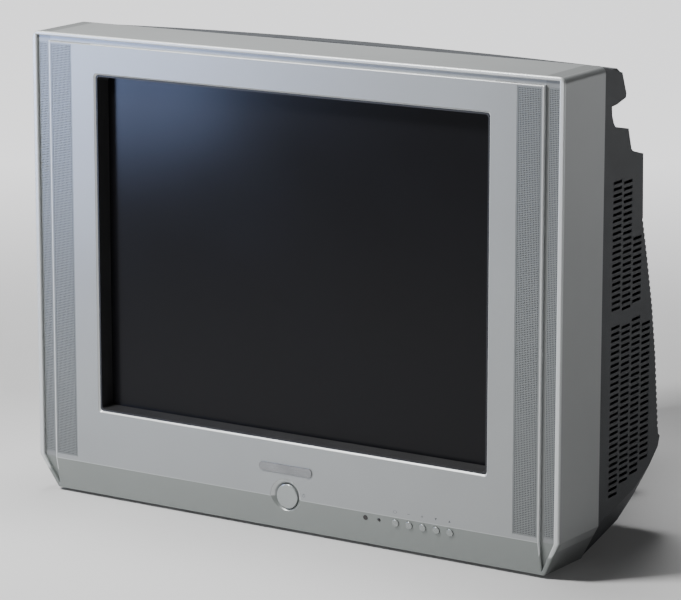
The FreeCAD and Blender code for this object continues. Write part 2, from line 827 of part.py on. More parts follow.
# ---------------------------------------------------------------- picture tube
def tube_block(shrink, y0, y1, radius):
    """A rounded block on the tube's axis, smaller all round by shrink."""
    return rounded_block(tube_half_width - shrink, tube_z - tube_half_height + shrink,
                         tube_z + tube_half_height - shrink, y0, y1, radius)


def crt_panel():
    """Flat glass front with its deep skirt."""
    glass = tube_block(0, glass_setback, seal_y, tube_corner)
    rim = [e for e in glass.Edges if abs(e.CenterOfMass.y - glass_setback) < 1e-6]
    glass = glass.makeFillet(4.0, rim)
    return glass.cut(tube_block(skirt_wall, glass_setback + faceplate, seal_y + 1, tube_corner - skirt_wall))


def funnel_shape(share):
    """Half width, half height and squareness of the funnel at a share of its length."""
    swell = math.cos(math.pi / 2 * share) ** 1.5
    tall = tube_half_height + (tube_half_width - tube_half_height) * share ** 2 - neck_radius
    half_w = neck_radius + (tube_half_width - 3 - neck_radius) * swell
    half_h = neck_radius + (tall - 3) * swell
    return half_w, half_h, 2 + 6 * (1 - share) ** 2


def funnel_wire(share, shrink, y):
    """Closed smooth outline |x/a|^n + |z/b|^n = 1 at one depth."""
    half_w, half_h, power = funnel_shape(share)
    points = []
    for step in range(funnel_points):
        turn = 2 * math.pi * step / funnel_points
        c, s = math.cos(turn), math.sin(turn)
        reach = (abs(c) ** power + abs(s) ** power) ** (-1 / power)
        points.append(V((half_w - shrink) * reach * c, y, tube_z + (half_h - shrink) * reach * s))
    curve = Part.BSplineCurve()
    curve.interpolate(Points=points, PeriodicFlag=True)
    return Part.Wire([curve.toShape()])


funnel_shares = [0.0, 0.14, 0.28, 0.42, 0.56, 0.7, 0.82, 0.92, 1.0]


def crt_funnel():
    """Glass funnel and neck, hollow, closed at the neck's end."""
    outer, inner = [], []
    for share in funnel_shares:
        y = seal_y + share * funnel_length
        outer.append(funnel_wire(share, -weld_bead * share, y))
        inner.append(funnel_wire(share, funnel_wall - (funnel_wall - neck_wall - weld_bead) * share, y))
    outer = Part.makeLoft(outer, True)
    inner = Part.makeLoft(inner, True)
    outer = outer.fuse(rod(0, tube_z, neck_start - 6, neck_end, neck_radius))
    return outer.cut(inner).cut(rod(0, tube_z, neck_start - 6, neck_end - 3, neck_radius - neck_wall))


def tension_band():
    """Steel band around the skirt, with a lug at each corner."""
    grow = seat_gap + band_thickness
    outer = tube_block(-grow, 28, lug_setback + 4, tube_corner + grow)
    band = outer.cut(tube_block(-seat_gap, 27, lug_setback + 5, tube_corner + seat_gap))
    lugs, holes = [], []
    inner = tube_half_width + seat_gap + band_thickness / 2
    for rise in (-1, 1):
        z = tube_z + rise * lug_z
        lug = box(inner, lug_x + 9, lug_setback, lug_setback + lug_thickness, z - 10, z + 10)
        hole = rod(lug_x, z, lug_setback - 1, lug_setback + lug_thickness + 1, crt_screw_radius + seat_gap)
        lugs += [lug, mirrored(lug)]
        holes += [hole, mirrored(hole)]
    # the lug's root follows the rounded corner of the band
    inside = tube_block(-seat_gap, 27, lug_setback + 5, tube_corner + seat_gap)
    lugs = [lug.cut(inside) for lug in lugs]
    return fuse([band] + lugs).cut(Part.makeCompound(holes))


def crt_screws():
    """Four hexagon screws that hold the tube's lugs to the cabinet's pillars."""
    screws = []
    head_y = lug_setback + lug_thickness
    for side in (-1, 1):
        for rise in (-1, 1):
            x, z = side * lug_x, tube_z + rise * lug_z
            corners = []
            for k in range(6):
                turn = k * math.pi / 3
                corners.append((x + hexagon_reach * math.cos(turn), z + hexagon_reach * math.sin(turn)))
            shank = rod(x, z, head_y - 26, head_y, crt_screw_radius)
            screws.append(shank.fuse(prism_y(corners, head_y, head_y + 4)))
    return Part.makeCompound(screws)


def shadow_mask():
    """Thin mask sheet behind the faceplate."""
    return tube_block(mask_border, mask_y, mask_y + 0.8, 16)


def mask_frame():
    """Steel frame that stretches the mask."""
    frame = tube_block(mask_border - 8, mask_y + 1, mask_y + 16, 20)
    return frame.cut(tube_block(mask_border + 8, mask_y, mask_y + 17, 10))


def magnetic_shield():
    """Thin tapering shield behind the mask."""
    start, end = mask_y + 17, seal_y + 0.17 * funnel_length
    shells = []
    for shrink in (0, 1.2):
        wide = rounded_wire(tube_half_width - 40 - shrink, tube_z - tube_half_height + 38 + shrink,
                            tube_z + tube_half_height - 38 - shrink, 30, start - shrink)
        slim = rounded_wire(tube_half_width - 110 - shrink, tube_z - tube_half_height + 85 + shrink,
                            tube_z + tube_half_height - 85 - shrink, 30, end + shrink)
        shells.append(Part.makeLoft([wide, slim], True, True))
    return shells[0].cut(shells[1])


def electron_gun():
    """Grid cups and support beads inside the neck."""
    start, end = neck_start + 15, neck_end - 4
    grids = [rod(0, tube_z, start, start + 24, 9.5), rod(0, tube_z, start + 24, end, 5.0)]
    for index in range(5):
        y = start + 28 + index * 13
        grids.append(rod(0, tube_z, y, y + 8, 8.5))
    for side in (-1, 1):
        grids.append(box(side * 9.2 - 1, side * 9.2 + 1, start + 6, end - 4, tube_z - 3, tube_z + 3))
    return fuse(grids).cut(rod(0, tube_z, start - 1, start + 12, 7.5))


def tube_base():
    """Moulded base with its ring of pins."""
    pieces = [rod(0, tube_z, neck_end, neck_end + 8, 12.0)]
    for x, z in pin_places():
        pieces.append(rod(x, z, neck_end + 7, neck_end + 16, 0.6))
    return fuse(pieces)


def pin_places():
    """Ten pins on a circle, with a gap for the key."""
    turns = [math.radians(k * 33) for k in range(10)]
    return [(pin_circle * math.cos(turn), tube_z + pin_circle * math.sin(turn)) for turn in turns]


def tube_socket():
    """Socket on the neck board that takes the tube's pins."""
    block = rod(0, tube_z, neck_end + 8.5, neck_end + 18, 16.0)
    holes = [rod(x, z, neck_end + 8, neck_end + 17, 0.6 + fit_gap) for x, z in pin_places()]
    return block.cut(Part.makeCompound(holes + [rod(0, tube_z, neck_end + 8, neck_end + 14, 4.0)]))


def neck_board():
    """Circuit board on the end of the tube, with its parts."""
    y = neck_end + 18 + seat_gap
    board = rounded_block(55, tube_z - 46, tube_z + 46, y, y + board_thickness, 4)
    parts = [box(-45, -25, y + board_thickness - 0.1, y + 9, tube_z - 30, tube_z + 10),
             box(28, 46, y + board_thickness - 0.1, y + 12, tube_z - 34, tube_z - 10),
             rod(36, tube_z + 20, y + board_thickness - 0.1, y + 11, 6.0)]
    return fuse([board] + parts)


def degauss_coil():
    """Taped loop of wire round the funnel."""
    y = seal_y + coil_back
    half_w, half_h, power = funnel_shape(coil_back / funnel_length)
    a, b = half_w + coil_radius + 0.5, half_h + coil_radius + 0.5
    path = rounded_wire(a, tube_z - b, tube_z + b, 80, y)
    first = path.OrderedEdges[0]
    section = Part.makeCircle(coil_radius, first.valueAt(first.FirstParameter),
                              first.tangentAt(first.FirstParameter))
    return Part.Wire(path.OrderedEdges).makePipeShell([Part.Wire([section])], True, True)


# ---------------------------------------------------------------- deflection yoke and neck parts
def funnel_reach(y):
    """Largest radius of the funnel at a depth near the neck."""
    share = min(1.0, (y - seal_y) / funnel_length)
    half_w, half_h, power = funnel_shape(share)
    return max(half_w, half_h) * 2 ** (0.5 - 1 / power)


def horn(start_share, end_y, inner_gap, thickness):
    """A ring that follows the funnel's flare, at a distance from it."""
    stations = [seal_y + funnel_length * share for share in (0.74, 0.78, 0.82, 0.86, 0.9, 0.94, 0.98, 1.0)
                if share >= start_share and seal_y + funnel_length * share < end_y] + [end_y]
    inner = [(y, max(funnel_reach(y), neck_radius) + inner_gap) for y in stations]
    outer = [(y, radius + thickness) for y, radius in reversed(inner)]
    return revolve_y(inner + outer)


def yoke_former():
    """Plastic horn with a front flange and a split sleeve behind."""
    body = horn(0.74, neck_start + 6, 2.0, 2.5)
    front = seal_y + 0.74 * funnel_length
    reach = funnel_reach(front)
    flange = pipe(0, tube_z, front - 2, front + 2, reach + 12, reach + 2.0)
    sleeve = pipe(0, tube_z, neck_start + 5, neck_start + 36, sleeve_radius, neck_radius + seat_gap)
    back_plate = pipe(0, tube_z, neck_start + 5, neck_start + 8, 40, neck_radius + seat_gap)
    slit = box(-1, 1, neck_start + 20, neck_start + 37, tube_z, tube_z + sleeve_radius + 1)
    return fuse([body, flange, sleeve, back_plate]).cut(slit)


def yoke_coils():
    """Copper windings between the former and the ferrite core."""
    winding = horn(0.78, neck_start + 1, 5.0, 6.0)
    front = seal_y + 0.78 * funnel_length
    bulge = pipe(0, tube_z, front, front + 7, funnel_reach(front) + 14, funnel_reach(front) + 5.0)
    return fuse([winding, bulge])


def yoke_core():
    """Ferrite ring."""
    return horn(0.82, neck_start - 4, 11.5, 8.0)


def yoke_clamp():
    """Clamp ring with its screw, round the former's sleeve."""
    start = neck_start + 24
    ring = pipe(0, tube_z, start, start + 8, sleeve_radius + 2.5, sleeve_radius + seat_gap)
    ears = [box(x - 1.5, x + 1.5, start, start + 8, tube_z + sleeve_radius + 1, tube_z + sleeve_radius + 12)
            for x in (-3.5, 3.5)]
    screw = Part.makeCylinder(1.6, 16, V(-8, start + 4, tube_z + sleeve_radius + 8), along_x)
    return fuse([ring] + ears + [screw])


def ring_holder():
    """Tube on the neck that carries the adjusting rings."""
    start = neck_start + 40
    tube = pipe(0, tube_z, start, start + 44, ring_seat, neck_radius + seat_gap)
    collars = [pipe(0, tube_z, y, y + 2, ring_seat + 4, neck_radius + seat_gap)
               for y in (start, start + 12, start + 22, start + 32)]
    return fuse([tube] + collars)


def ring_pair(slot_y, tab_angle):
    """Two thin magnet rings with finger tabs."""
    rings = []
    for index, y in enumerate((slot_y, slot_y + 2.6)):
        ring = pipe(0, tube_z, y, y + 2.2, ring_seat + 7, ring_seat + fit_gap)
        tab = box(-3, 3, y, y + 2.2, tube_z + ring_seat + 5, tube_z + ring_seat + 18)
        tab.rotate(V(0, 0, tube_z), along_y, tab_angle + (index - 0.5) * 24)
        rings.append(fuse([ring, tab]))
    return Part.makeCompound(rings)


# ---------------------------------------------------------------- anode lead
def anode_place():
    """Where the anode cap sits on top of the funnel, and the direction it faces."""
    share, step = 0.36, 0.01
    rise = funnel_shape(share)[1] - funnel_shape(share + step)[1]
    outwards = V(0, rise, step * funnel_length).normalize()
    return V(0, seal_y + share * funnel_length, tube_z + funnel_shape(share)[1]), outwards


def anode_cap():
    """Rubber cap over the tube's anode contact."""
    place, outwards = anode_place()
    base = place + outwards * 0.3
    skirt = Part.makeCone(24, 16, 4, base, outwards)
    knob = Part.makeCylinder(9, 8, base, outwards)
    return fuse([skirt, knob])


def anode_lead():
    """High-voltage lead from the flyback transformer up to the anode cap."""
    place, outwards = anode_place()
    start = place + outwards * 5.5 + along_x * 9
    top = V(flyback_x, flyback_y, board_height + board_thickness + flyback_height)
    points = [start, start + V(40, 2, 0), start + V(80, 14, -12), V(140, top.y - 55, tube_z + 135),
              V(152, top.y - 25, tube_z + 90), V(155, top.y - 5, tube_z + 40), V(156, top.y + 4, tube_z - 20),
              V(152, top.y + 6, tube_z - 75), V(138, top.y + 3, tube_z - 125),
              V(top.x + 4, top.y, top.z + 45), top]
    return tube_along(bent_path(points), lead_radius)


# ---------------------------------------------------------------- loudspeakers
def speaker():
    """Oval loudspeaker frame, basket and magnet, on the right side."""
    x, low, high = speaker_x, speaker_z - speaker_half_height, speaker_z + speaker_half_height
    y = channel_depth + front_wall + seat_gap
    plate = rounded_block(speaker_half_width, low, high, y, y + 3, speaker_half_width - 1, x)
    plate = plate.cut(rounded_block(speaker_half_width - 6, low + 6, high - 6, y - 1, y + 4,
                                    speaker_half_width - 7, x))
    baskets = []
    for shrink in (0, 1.5):
        mouth = rounded_wire(speaker_half_width - 3 - shrink, low + 3 + shrink, high - 3 - shrink,
                             speaker_half_width - 4 - shrink, y + 3 - shrink)
        throat = rounded_wire(20 - shrink, speaker_z - 24 + shrink, speaker_z + 24 - shrink, 18 - shrink,
                              y + 26 + 2 * shrink)
        baskets.append(Part.makeLoft([mouth, throat], True, True))
    basket = baskets[0].cut(baskets[1])
    basket.translate(V(x, 0, 0))
    yoke = rod(x, speaker_z, y + 26, y + 30, 20.0)
    magnet = rod(x, speaker_z, y + 30, y + 42, 19.0)
    windows = [box(x - 30, x + 30, y + 9, y + 20, z, z + 16)
               for z in (speaker_z - 40, speaker_z - 8, speaker_z + 24)]
    return fuse([plate, basket, yoke, magnet]).cut(Part.makeCompound(windows))


def speaker_cone():
    """Paper cone with its dust cap, on the right side."""
    y = channel_depth + front_wall + seat_gap
    shells = []
    for shrink in (0, 0.8):
        rise = speaker_half_height - 6.5 - shrink
        mouth = rounded_wire(speaker_half_width - 6.5 - shrink, speaker_z - rise, speaker_z + rise,
                             speaker_half_width - 8 - shrink, y + 1.5 - shrink)
        throat = rounded_wire(9 - shrink, speaker_z - 9 + shrink, speaker_z + 9 - shrink, 7 - shrink,
                              y + 20 + shrink)
        shells.append(Part.makeLoft([mouth, throat], True, True))
    cone = shells[0].cut(shells[1])
    cone.translate(V(speaker_x, 0, 0))
    dust_cap = rod(speaker_x, speaker_z, y + 12, y + 20, 8.2)
    return fuse([cone, dust_cap])


# ---------------------------------------------------------------- chassis
def main_board():
    """Large circuit board in the bay."""
    return box(-board_half_width, board_half_width, board_front, board_back, board_height,
               board_height + board_thickness)


board_top = board_height + board_thickness


def on_board(x0, x1, y0, y1, tall, lift=0.0):
    """A block standing on the main board."""
    return box(x0, x1, y0, y1, board_top + lift, board_top + lift + tall)


def can(x, y, radius, tall):
    """An upright round part on the main board."""
    return Part.makeCylinder(radius, tall, V(x, y, board_top), along_z)


def flyback_transformer():
    """Potted high-voltage transformer with its ferrite loop, bored for two trimmers."""
    x, y = flyback_x, flyback_y
    pot = on_board(x - 20, x + 20, y - 22, y + 22, flyback_height)
    pot = pot.makeFillet(4, edges_along(pot, along_z))
    loop = on_board(x - 34, x + 10, y - 7, y + 7, 52, 6).cut(on_board(x - 27, x + 11, y - 8, y + 8, 38, 13))
    holes = [rod(kx, kz, y + 12, y + 23, 3.0 + fit_gap) for kx, kz in trimmer_places()]
    return fuse([pot, loop]).cut(Part.makeCompound(holes))


def trimmer_places():
    """Centres of the focus and screen trimmers on the transformer's back."""
    return [(flyback_x - 9, board_top + 22), (flyback_x + 9, board_top + 22)]


def trimmer(place):
    """Small knob with a screwdriver slot and a shaft."""
    x, z = place
    face = flyback_y + 22 + touch_gap
    knob = fuse([rod(x, z, flyback_y + 13, face, 3.0), rod(x, z, face, face + 8, knob_radius)])
    return knob.cut(box(x - knob_radius, x + knob_radius, face + 6, face + 9, z - 0.7, z + 0.7))


def heat_sinks():
    """Two finned plates with the power transistors' tabs."""
    sinks = []
    for x, y in ((20, 220), (-30, 300)):
        fins = [on_board(x - 34, x + 34, y, y + 3, 55)]
        fins += [on_board(x - 34 + k * 11, x - 32 + k * 11, y + 2.9, y + 16, 55) for k in range(7)]
        fins.append(on_board(x - 8, x + 8, y - 4, y, 18, 14))
        sinks.append(fuse(fins))
    return Part.makeCompound(sinks)


def mains_transformer():
    """Switch-mode transformer and the mains filter choke."""
    core = on_board(-150, -105, 180, 225, 40)
    core = core.cut(on_board(-143, -112, 179, 226, 26, 7))
    winding = on_board(-142.8, -112.2, 183, 222, 25.6, 7.2)
    choke = on_board(-175, -155, 190, 215, 28)
    return Part.makeCompound([fuse([core, winding]), choke])


def capacitors():
    """The larger electrolytic capacitors."""
    places = [(-85, 185, 15.0, 40), (-60, 150, 8.0, 28), (-20, 160, 6.0, 22), (60, 165, 8.0, 30),
              (90, 190, 6.5, 24), (55, 330, 8.0, 30), (165, 240, 9.0, 34), (-90, 260, 6.0, 22)]
    return Part.makeCompound([can(x, y, radius, tall) for x, y, radius, tall in places])


def tuner():
    """Screened tuner with the aerial socket through the panel."""
    body = on_board(antenna_x - 24, antenna_x + 24, board_back - 62, board_back - 2, 26)
    barrel = rod(antenna_x, antenna_z, board_back - 3, bay_depth + 9, antenna_barrel)
    return fuse([body, barrel]).cut(rod(antenna_x, antenna_z, bay_depth - 3, bay_depth + 10, antenna_bore))


def rca_places():
    """Two rows of three sound and picture sockets."""
    return [(rca_x + column * 16.0, rca_z + row * 16.0) for row in range(2) for column in range(3)]


def av_sockets():
    """Block of sound and picture sockets on the board's edge."""
    body = on_board(rca_x - 10, rca_x + 42, board_back - 16, board_back - 2, 36)
    barrels = [rod(x, z, board_back - 3, bay_depth + 8, rca_radius) for x, z in rca_places()]
    holes = [rod(x, z, bay_depth - 2, bay_depth + 9, 1.7) for x, z in rca_places()]
    return fuse([body] + barrels).cut(Part.makeCompound(holes))


def mains_inlet():
    """Two-pin mains socket in the panel."""
    body = box(inlet_x - inlet_half, inlet_x + inlet_half, bay_depth - 16, bay_depth + 1,
               inlet_z - 10, inlet_z + 10)
    mouth = box(inlet_x - 7, inlet_x + 7, bay_depth - 12, bay_depth + 2, inlet_z - 4.5, inlet_z + 4.5)
    pins = [rod(inlet_x + side * 4.3, inlet_z, bay_depth - 13, bay_depth - 3, 1.2) for side in (-1, 1)]
    return fuse([body.cut(mouth)] + pins)


# ---------------------------------------------------------------- write every piece
def main():
    os.makedirs("parts", exist_ok=True)
    save("front_cabinet", front_cabinet())
    save("screen_surround", screen_surround())
    for name, piece in (("wide_grille", wide_grille()), ("narrow_grille", narrow_grille()),
                        ("speaker", speaker()), ("cone", speaker_cone())):
        save(name + "_right", piece)
        save(name + "_left", mirrored(piece))
    save("name_bar", name_bar())
    save("power_button", power_button())
    save("power_button_spring", power_spring())
    save("power_switch", power_switch())
    names = ("menu", "volume_down", "volume_up", "channel_down", "channel_up")
    for index, name in enumerate(names):
        save(name + "_button", small_button(button_first + index * button_pitch))
    save("tact_switches", tact_switches())
    save("control_board", control_board())
    save("remote_window", remote_window())
    save("standby_light", standby_light())
    save("back_cover", back_cover())
    save("cover_screws", cover_screws())
    save("rubber_feet", rubber_feet())
    save("crt_panel", crt_panel())
    save("crt_funnel", crt_funnel())
    save("tension_band", tension_band())
    save("crt_screws", crt_screws())
    save("shadow_mask", shadow_mask())
    save("mask_frame", mask_frame())
    save("magnetic_shield", magnetic_shield())
    save("electron_gun", electron_gun())
    save("tube_base", tube_base())
    save("tube_socket", tube_socket())
    save("neck_board", neck_board())
    save("degauss_coil", degauss_coil())
    save("yoke_former", yoke_former())
    save("yoke_coils", yoke_coils())
    save("yoke_core", yoke_core())
    save("yoke_clamp", yoke_clamp())
    save("ring_holder", ring_holder())
    for index, name in enumerate(("purity", "four_pole", "six_pole")):
        slot = neck_start + ring_first + index * ring_pitch
        save(name + "_rings", ring_pair(slot, 30 * (index - 1)))
    save("anode_cap", anode_cap())
    save("anode_lead", anode_lead())
    save("main_board", main_board())
    save("flyback_transformer", flyback_transformer())
    focus, screen = trimmer_places()
    save("focus_knob", trimmer(focus))
    save("screen_knob", trimmer(screen))
    save("heat_sinks", heat_sinks())
    save("mains_transformer", mains_transformer())
    save("capacitors", capacitors())
    save("tuner", tuner())
    save("av_sockets", av_sockets())
    save("mains_inlet", mains_inlet())


if __name__ == "__main__":
    main()
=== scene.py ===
# %% [markdown]
# # A silver flat-screen television
# The set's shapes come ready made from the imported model, in metres: X to the viewer's right, Y to
# the back and Z up. This lesson gives every shape a finish, swaps the plain grille plates for
# perforated ones, winds a real spring and lights the set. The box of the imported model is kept
# first, because nothing that is added may stick out of it.

import bpy
import json
import math
import numpy as np
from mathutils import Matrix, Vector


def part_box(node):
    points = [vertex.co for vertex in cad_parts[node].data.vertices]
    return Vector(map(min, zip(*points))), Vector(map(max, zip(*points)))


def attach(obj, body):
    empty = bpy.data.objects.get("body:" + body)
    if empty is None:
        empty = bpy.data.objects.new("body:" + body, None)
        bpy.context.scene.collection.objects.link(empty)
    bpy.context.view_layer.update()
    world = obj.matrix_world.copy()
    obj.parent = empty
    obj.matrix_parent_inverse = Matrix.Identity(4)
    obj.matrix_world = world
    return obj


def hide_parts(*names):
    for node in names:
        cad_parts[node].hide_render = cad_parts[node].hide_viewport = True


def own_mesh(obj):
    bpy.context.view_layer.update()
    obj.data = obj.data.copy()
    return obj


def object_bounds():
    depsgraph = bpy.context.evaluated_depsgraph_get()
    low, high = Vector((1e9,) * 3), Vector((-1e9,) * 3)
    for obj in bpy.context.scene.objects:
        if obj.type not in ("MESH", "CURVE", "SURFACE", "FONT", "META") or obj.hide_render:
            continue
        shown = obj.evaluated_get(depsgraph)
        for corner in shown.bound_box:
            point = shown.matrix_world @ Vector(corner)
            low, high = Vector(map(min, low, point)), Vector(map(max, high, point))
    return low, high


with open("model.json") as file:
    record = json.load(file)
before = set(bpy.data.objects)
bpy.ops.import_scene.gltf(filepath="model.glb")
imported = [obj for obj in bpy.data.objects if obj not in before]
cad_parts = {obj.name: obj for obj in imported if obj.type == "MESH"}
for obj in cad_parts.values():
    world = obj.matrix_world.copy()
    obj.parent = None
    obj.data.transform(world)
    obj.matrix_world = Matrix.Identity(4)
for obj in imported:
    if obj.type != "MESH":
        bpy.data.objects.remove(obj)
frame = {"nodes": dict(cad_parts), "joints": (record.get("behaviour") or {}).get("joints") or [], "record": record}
nodes = frame["nodes"]
cad_box = [list(corner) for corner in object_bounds()]
mm = 0.001
print("model loaded:", len(nodes), "nodes, box", cad_box)

# %% [markdown]
# ## Maths on shader sockets
# A finish is a small sum of patterns: a base tone, plus a little grain, minus some wear. Nodes could
# be wired one by one, but a formula is easier to read. So a value on its way through the nodes is
# wrapped in a class that knows + - * and /, and each sign adds the Math node that does it.


# %% Flow: a value inside a material
class Flow:
    """A socket's value. Sums on it add Math nodes to the same material."""

    def __init__(self, finish, socket):
        self.finish = finish
        self.socket = socket

    def sum(self, operation, first, second):
        return self.finish.node("ShaderNodeMath", {"operation": operation}, {0: first, 1: second})

    def __add__(self, other):
        return self.sum("ADD", self, other)

    def __sub__(self, other):
        return self.sum("SUBTRACT", self, other)

    def __mul__(self, other):
        return self.sum("MULTIPLY", self, other)

    def __truediv__(self, other):
        return self.sum("DIVIDE", self, other)

    def __rsub__(self, other):
        return self.sum("SUBTRACT", other, self)

    __radd__ = __add__
    __rmul__ = __mul__


# %% Finish: one material and its nodes
class Finish:
    """A material with a Principled shader, built up node by node."""

    def __init__(self, name):
        self.material = bpy.data.materials.new(name)
        self.material.use_nodes = True
        self.tree = self.material.node_tree
        self.shader = self.tree.nodes["Principled BSDF"]
        self.place = self.node("ShaderNodeTexCoord", {}, {}, "Object")

    def node(self, kind, settings, values, out=0):
        """Add a node: its settings first, then its sockets' values or links. Returns one output."""
        made = self.tree.nodes.new(kind)
        for key, value in settings.items():
            if key == "stops":
                self.fill_ramp(made.color_ramp, value)
            else:
                setattr(made, key, value)
        for key, value in values.items():
            self.put(made.inputs[key], value)
        return Flow(self, made.outputs[out])

    def fill_ramp(self, ramp, stops):
        """Give a colour ramp its stops, as (position, colour)."""
        while len(ramp.elements) < len(stops):
            ramp.elements.new(1.0)
        for element, (position, colour) in zip(ramp.elements, stops):
            element.position = position
            element.color = tuple(colour) + (1.0,)

    def put(self, socket, value):
        """Link a Flow to a socket, or write a plain value on it."""
        if isinstance(value, Flow):
            self.tree.links.new(value.socket, socket)
        elif isinstance(value, tuple) and len(value) == 3 and socket.type == "RGBA":
            socket.default_value = value + (1.0,)
        else:
            socket.default_value = value

    def noise(self, scale, detail=3.0, stretch=(1.0, 1.0, 1.0)):
        """Soft random pattern from 0 to 1, with so many spots in a metre."""
        where = self.node("ShaderNodeMapping", {}, {"Vector": self.place, "Scale": stretch})
        return self.node("ShaderNodeTexNoise", {}, {"Vector": where, "Scale": scale, "Detail": detail})

    def cells(self, scale, feature="F1"):
        """Distance to the nearest of many scattered points."""
        return self.node("ShaderNodeTexVoronoi", {"feature": feature}, {"Vector": self.place, "Scale": scale},
                         "Distance")

    def axis(self, letter):
        """One coordinate of the place in the object, in metres."""
        return self.node("ShaderNodeSeparateXYZ", {}, {"Vector": self.place}, letter)

    def radius_from(self, x, z):
        """Distance from an axis along Y through (x, z)."""
        away_x = self.axis("X") - x
        away_z = self.axis("Z") - z
        return self.node("ShaderNodeMath", {"operation": "SQRT"}, {0: away_x * away_x + away_z * away_z})

    def wave(self, flow, length):
        """Sine wave from 0 to 1 with this wavelength along a coordinate."""
        turn = flow * (2 * math.pi / length)
        return self.node("ShaderNodeMath", {"operation": "SINE"}, {0: turn}) * 0.5 + 0.5

    def span(self, flow, low, high, to_low=0.0, to_high=1.0):
        """Stretch a range of a value to another range, and hold it there."""
        values = {"Value": flow, "From Min": low, "From Max": high, "To Min": to_low, "To Max": to_high}
        return self.node("ShaderNodeMapRange", {"clamp": True}, values)

    def blend(self, share, first, second):
        """Mix two colours by a share from 0 to 1."""
        return self.node("ShaderNodeMix", {"data_type": "RGBA"}, {0: share, 6: first, 7: second}, 2)

    def bump(self, height, strength, distance):
        """Turn a height pattern into a bent surface normal."""
        return self.node("ShaderNodeBump", {}, {"Height": height, "Strength": strength, "Distance": distance})

    def set(self, **values):
        """Put values or flows on the shader; an underscore stands for a space."""
        for key, value in values.items():
            self.put(self.shader.inputs[key.replace("_", " ")], value)
        return self.material


print("shader maths ready")

# %% [markdown]
# ## Silver paint
# The front is grey plastic under a thin silver lacquer. Aluminium flakes lie flat in it and give a
# soft sheen with tiny sparkles. It could be one metallic colour, but then it looks like bare metal.
# Here fine cells shift the tone by a few percent, a broad noise adds the slight unevenness of a
# sprayed coat, and a very low bump makes the orange-peel of the lacquer.


# %% Sprayed silver
def sprayed_silver(name, tone, roughness, metal, painted_light=None):
    """tone * (1 + flakes + unevenness), a few percent each; a given function paints highlights and shade on the
    tone by place.
    """
    coat = Finish(name)
    flakes = coat.noise(5200.0, 1.0)
    uneven = coat.noise(9.0, 2.0)
    dark = tuple(0.92 * part for part in tone)
    light = tuple(min(1.0, 1.06 * part) for part in tone)
    share = coat.span(flakes * 0.6 + uneven * 0.4, 0.3, 0.7)
    peel = coat.noise(700.0, 2.0)
    colour = coat.blend(share, dark, light)
    # Painted highlights and painted shade by place, when a function for them is given.
    if painted_light:
        colour = painted_light(coat, colour)
    return coat.set(Base_Color=colour, Metallic=metal,
                    Roughness=coat.span(flakes, 0.2, 0.8, roughness - 0.04, roughness + 0.05),
                    Normal=coat.bump(peel * 0.7 + flakes * 0.3, 0.05, 0.0001),
                    Coat_Weight=0.12, Coat_Roughness=0.3)


# %% [markdown]
# The front's edges get painted highlights: the rim, the fascia's border, the bevel round the screen
# and the fold line are painted brighter than the faces. The channels get painted shade, and the
# leaning apron is painted a darker, greener grey that stands in for the shade of its downward lean.
# Each is a mask, worked out from the place in the cabinet's own box.

# %% Painted highlights and shade on the cabinet's edges, channels and apron
cabinet_low, cabinet_high = (np.array(corner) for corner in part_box("front_cabinet"))
rim_inside = cabinet_high[0] - 6.2 * mm
fascia_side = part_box("wide_grille_right")[1].x + 3.0 * mm
fold_line = cabinet_low[2] + 39.3 * mm
bevel_side = 278.0 * mm
front_plane = cabinet_low[1]


def cabinet_painted_light(coat, colour):
    """Painted highlights where |x| or z is at an edge and on the fold; painted shade on the apron and in the
    channels.
    """
    x, y, z = (coat.axis(letter) for letter in "XYZ")
    side = coat.node("ShaderNodeMath", {"operation": "ABSOLUTE"}, {0: x})
    near_front = coat.span(y, front_plane + 3.0 * mm, front_plane + 3.6 * mm, 1.0, 0.0)
    rim = coat.span(side, rim_inside - 0.2 * mm, rim_inside + 0.2 * mm)
    top_rim = coat.span(z, cabinet_high[2] - 7.4 * mm, cabinet_high[2] - 7.0 * mm)
    border = coat.span(side, fascia_side - 2.0 * mm, fascia_side - 1.6 * mm)
    bevel = coat.span(y, front_plane + 0.25 * mm, front_plane + 0.4 * mm)
    bevel = bevel * coat.span(side, bevel_side, bevel_side + 1.0 * mm, 1.0, 0.0)
    above = coat.span(z, fold_line, fold_line + 0.6 * mm)
    # The edge masks summed: where the painted highlight goes.
    edges = (rim + top_rim + border + bevel * above)
    edges = coat.span(edges, 0.0, 1.0) * near_front
    # The channel floors: where painted shade of the recess goes.
    channel = coat.span(side, fascia_side, fascia_side + 0.2 * mm) - rim
    channel_floor = coat.span(y, front_plane + 3.7 * mm, front_plane + 3.9 * mm)
    channel = coat.span(channel * channel_floor, 0.0, 1.0, 0.0, 0.7)
    # The apron below the fold: where painted shade of its downward lean goes.
    apron_shade = coat.span(z, fold_line - 0.5 * mm, fold_line, 1.0, 0.0)
    apron_shade = apron_shade * coat.span(y, front_plane + 9.0 * mm, front_plane + 10.0 * mm, 1.0, 0.0)
    # A thin line on the fold: where a painted highlight goes.
    crease_highlight = coat.span(z, fold_line - 0.6 * mm, fold_line - 0.1 * mm)
    crease_highlight = crease_highlight * coat.span(z, fold_line + 0.1 * mm, fold_line + 0.6 * mm, 1.0, 0.0)
    # Painted shade: dark grey on the channel floors.
    colour = coat.blend(channel, colour, (0.20, 0.208, 0.208))
    # Painted shade: a darker, greener grey on the apron.
    colour = coat.blend(apron_shade * 0.85, colour, (0.235, 0.255, 0.245))
    # Painted highlight: light grey on the edges and the fold line.
    return coat.blend(coat.span(edges + crease_highlight * near_front * 0.6, 0.0, 1.0), colour, (0.60, 0.62, 0.62))


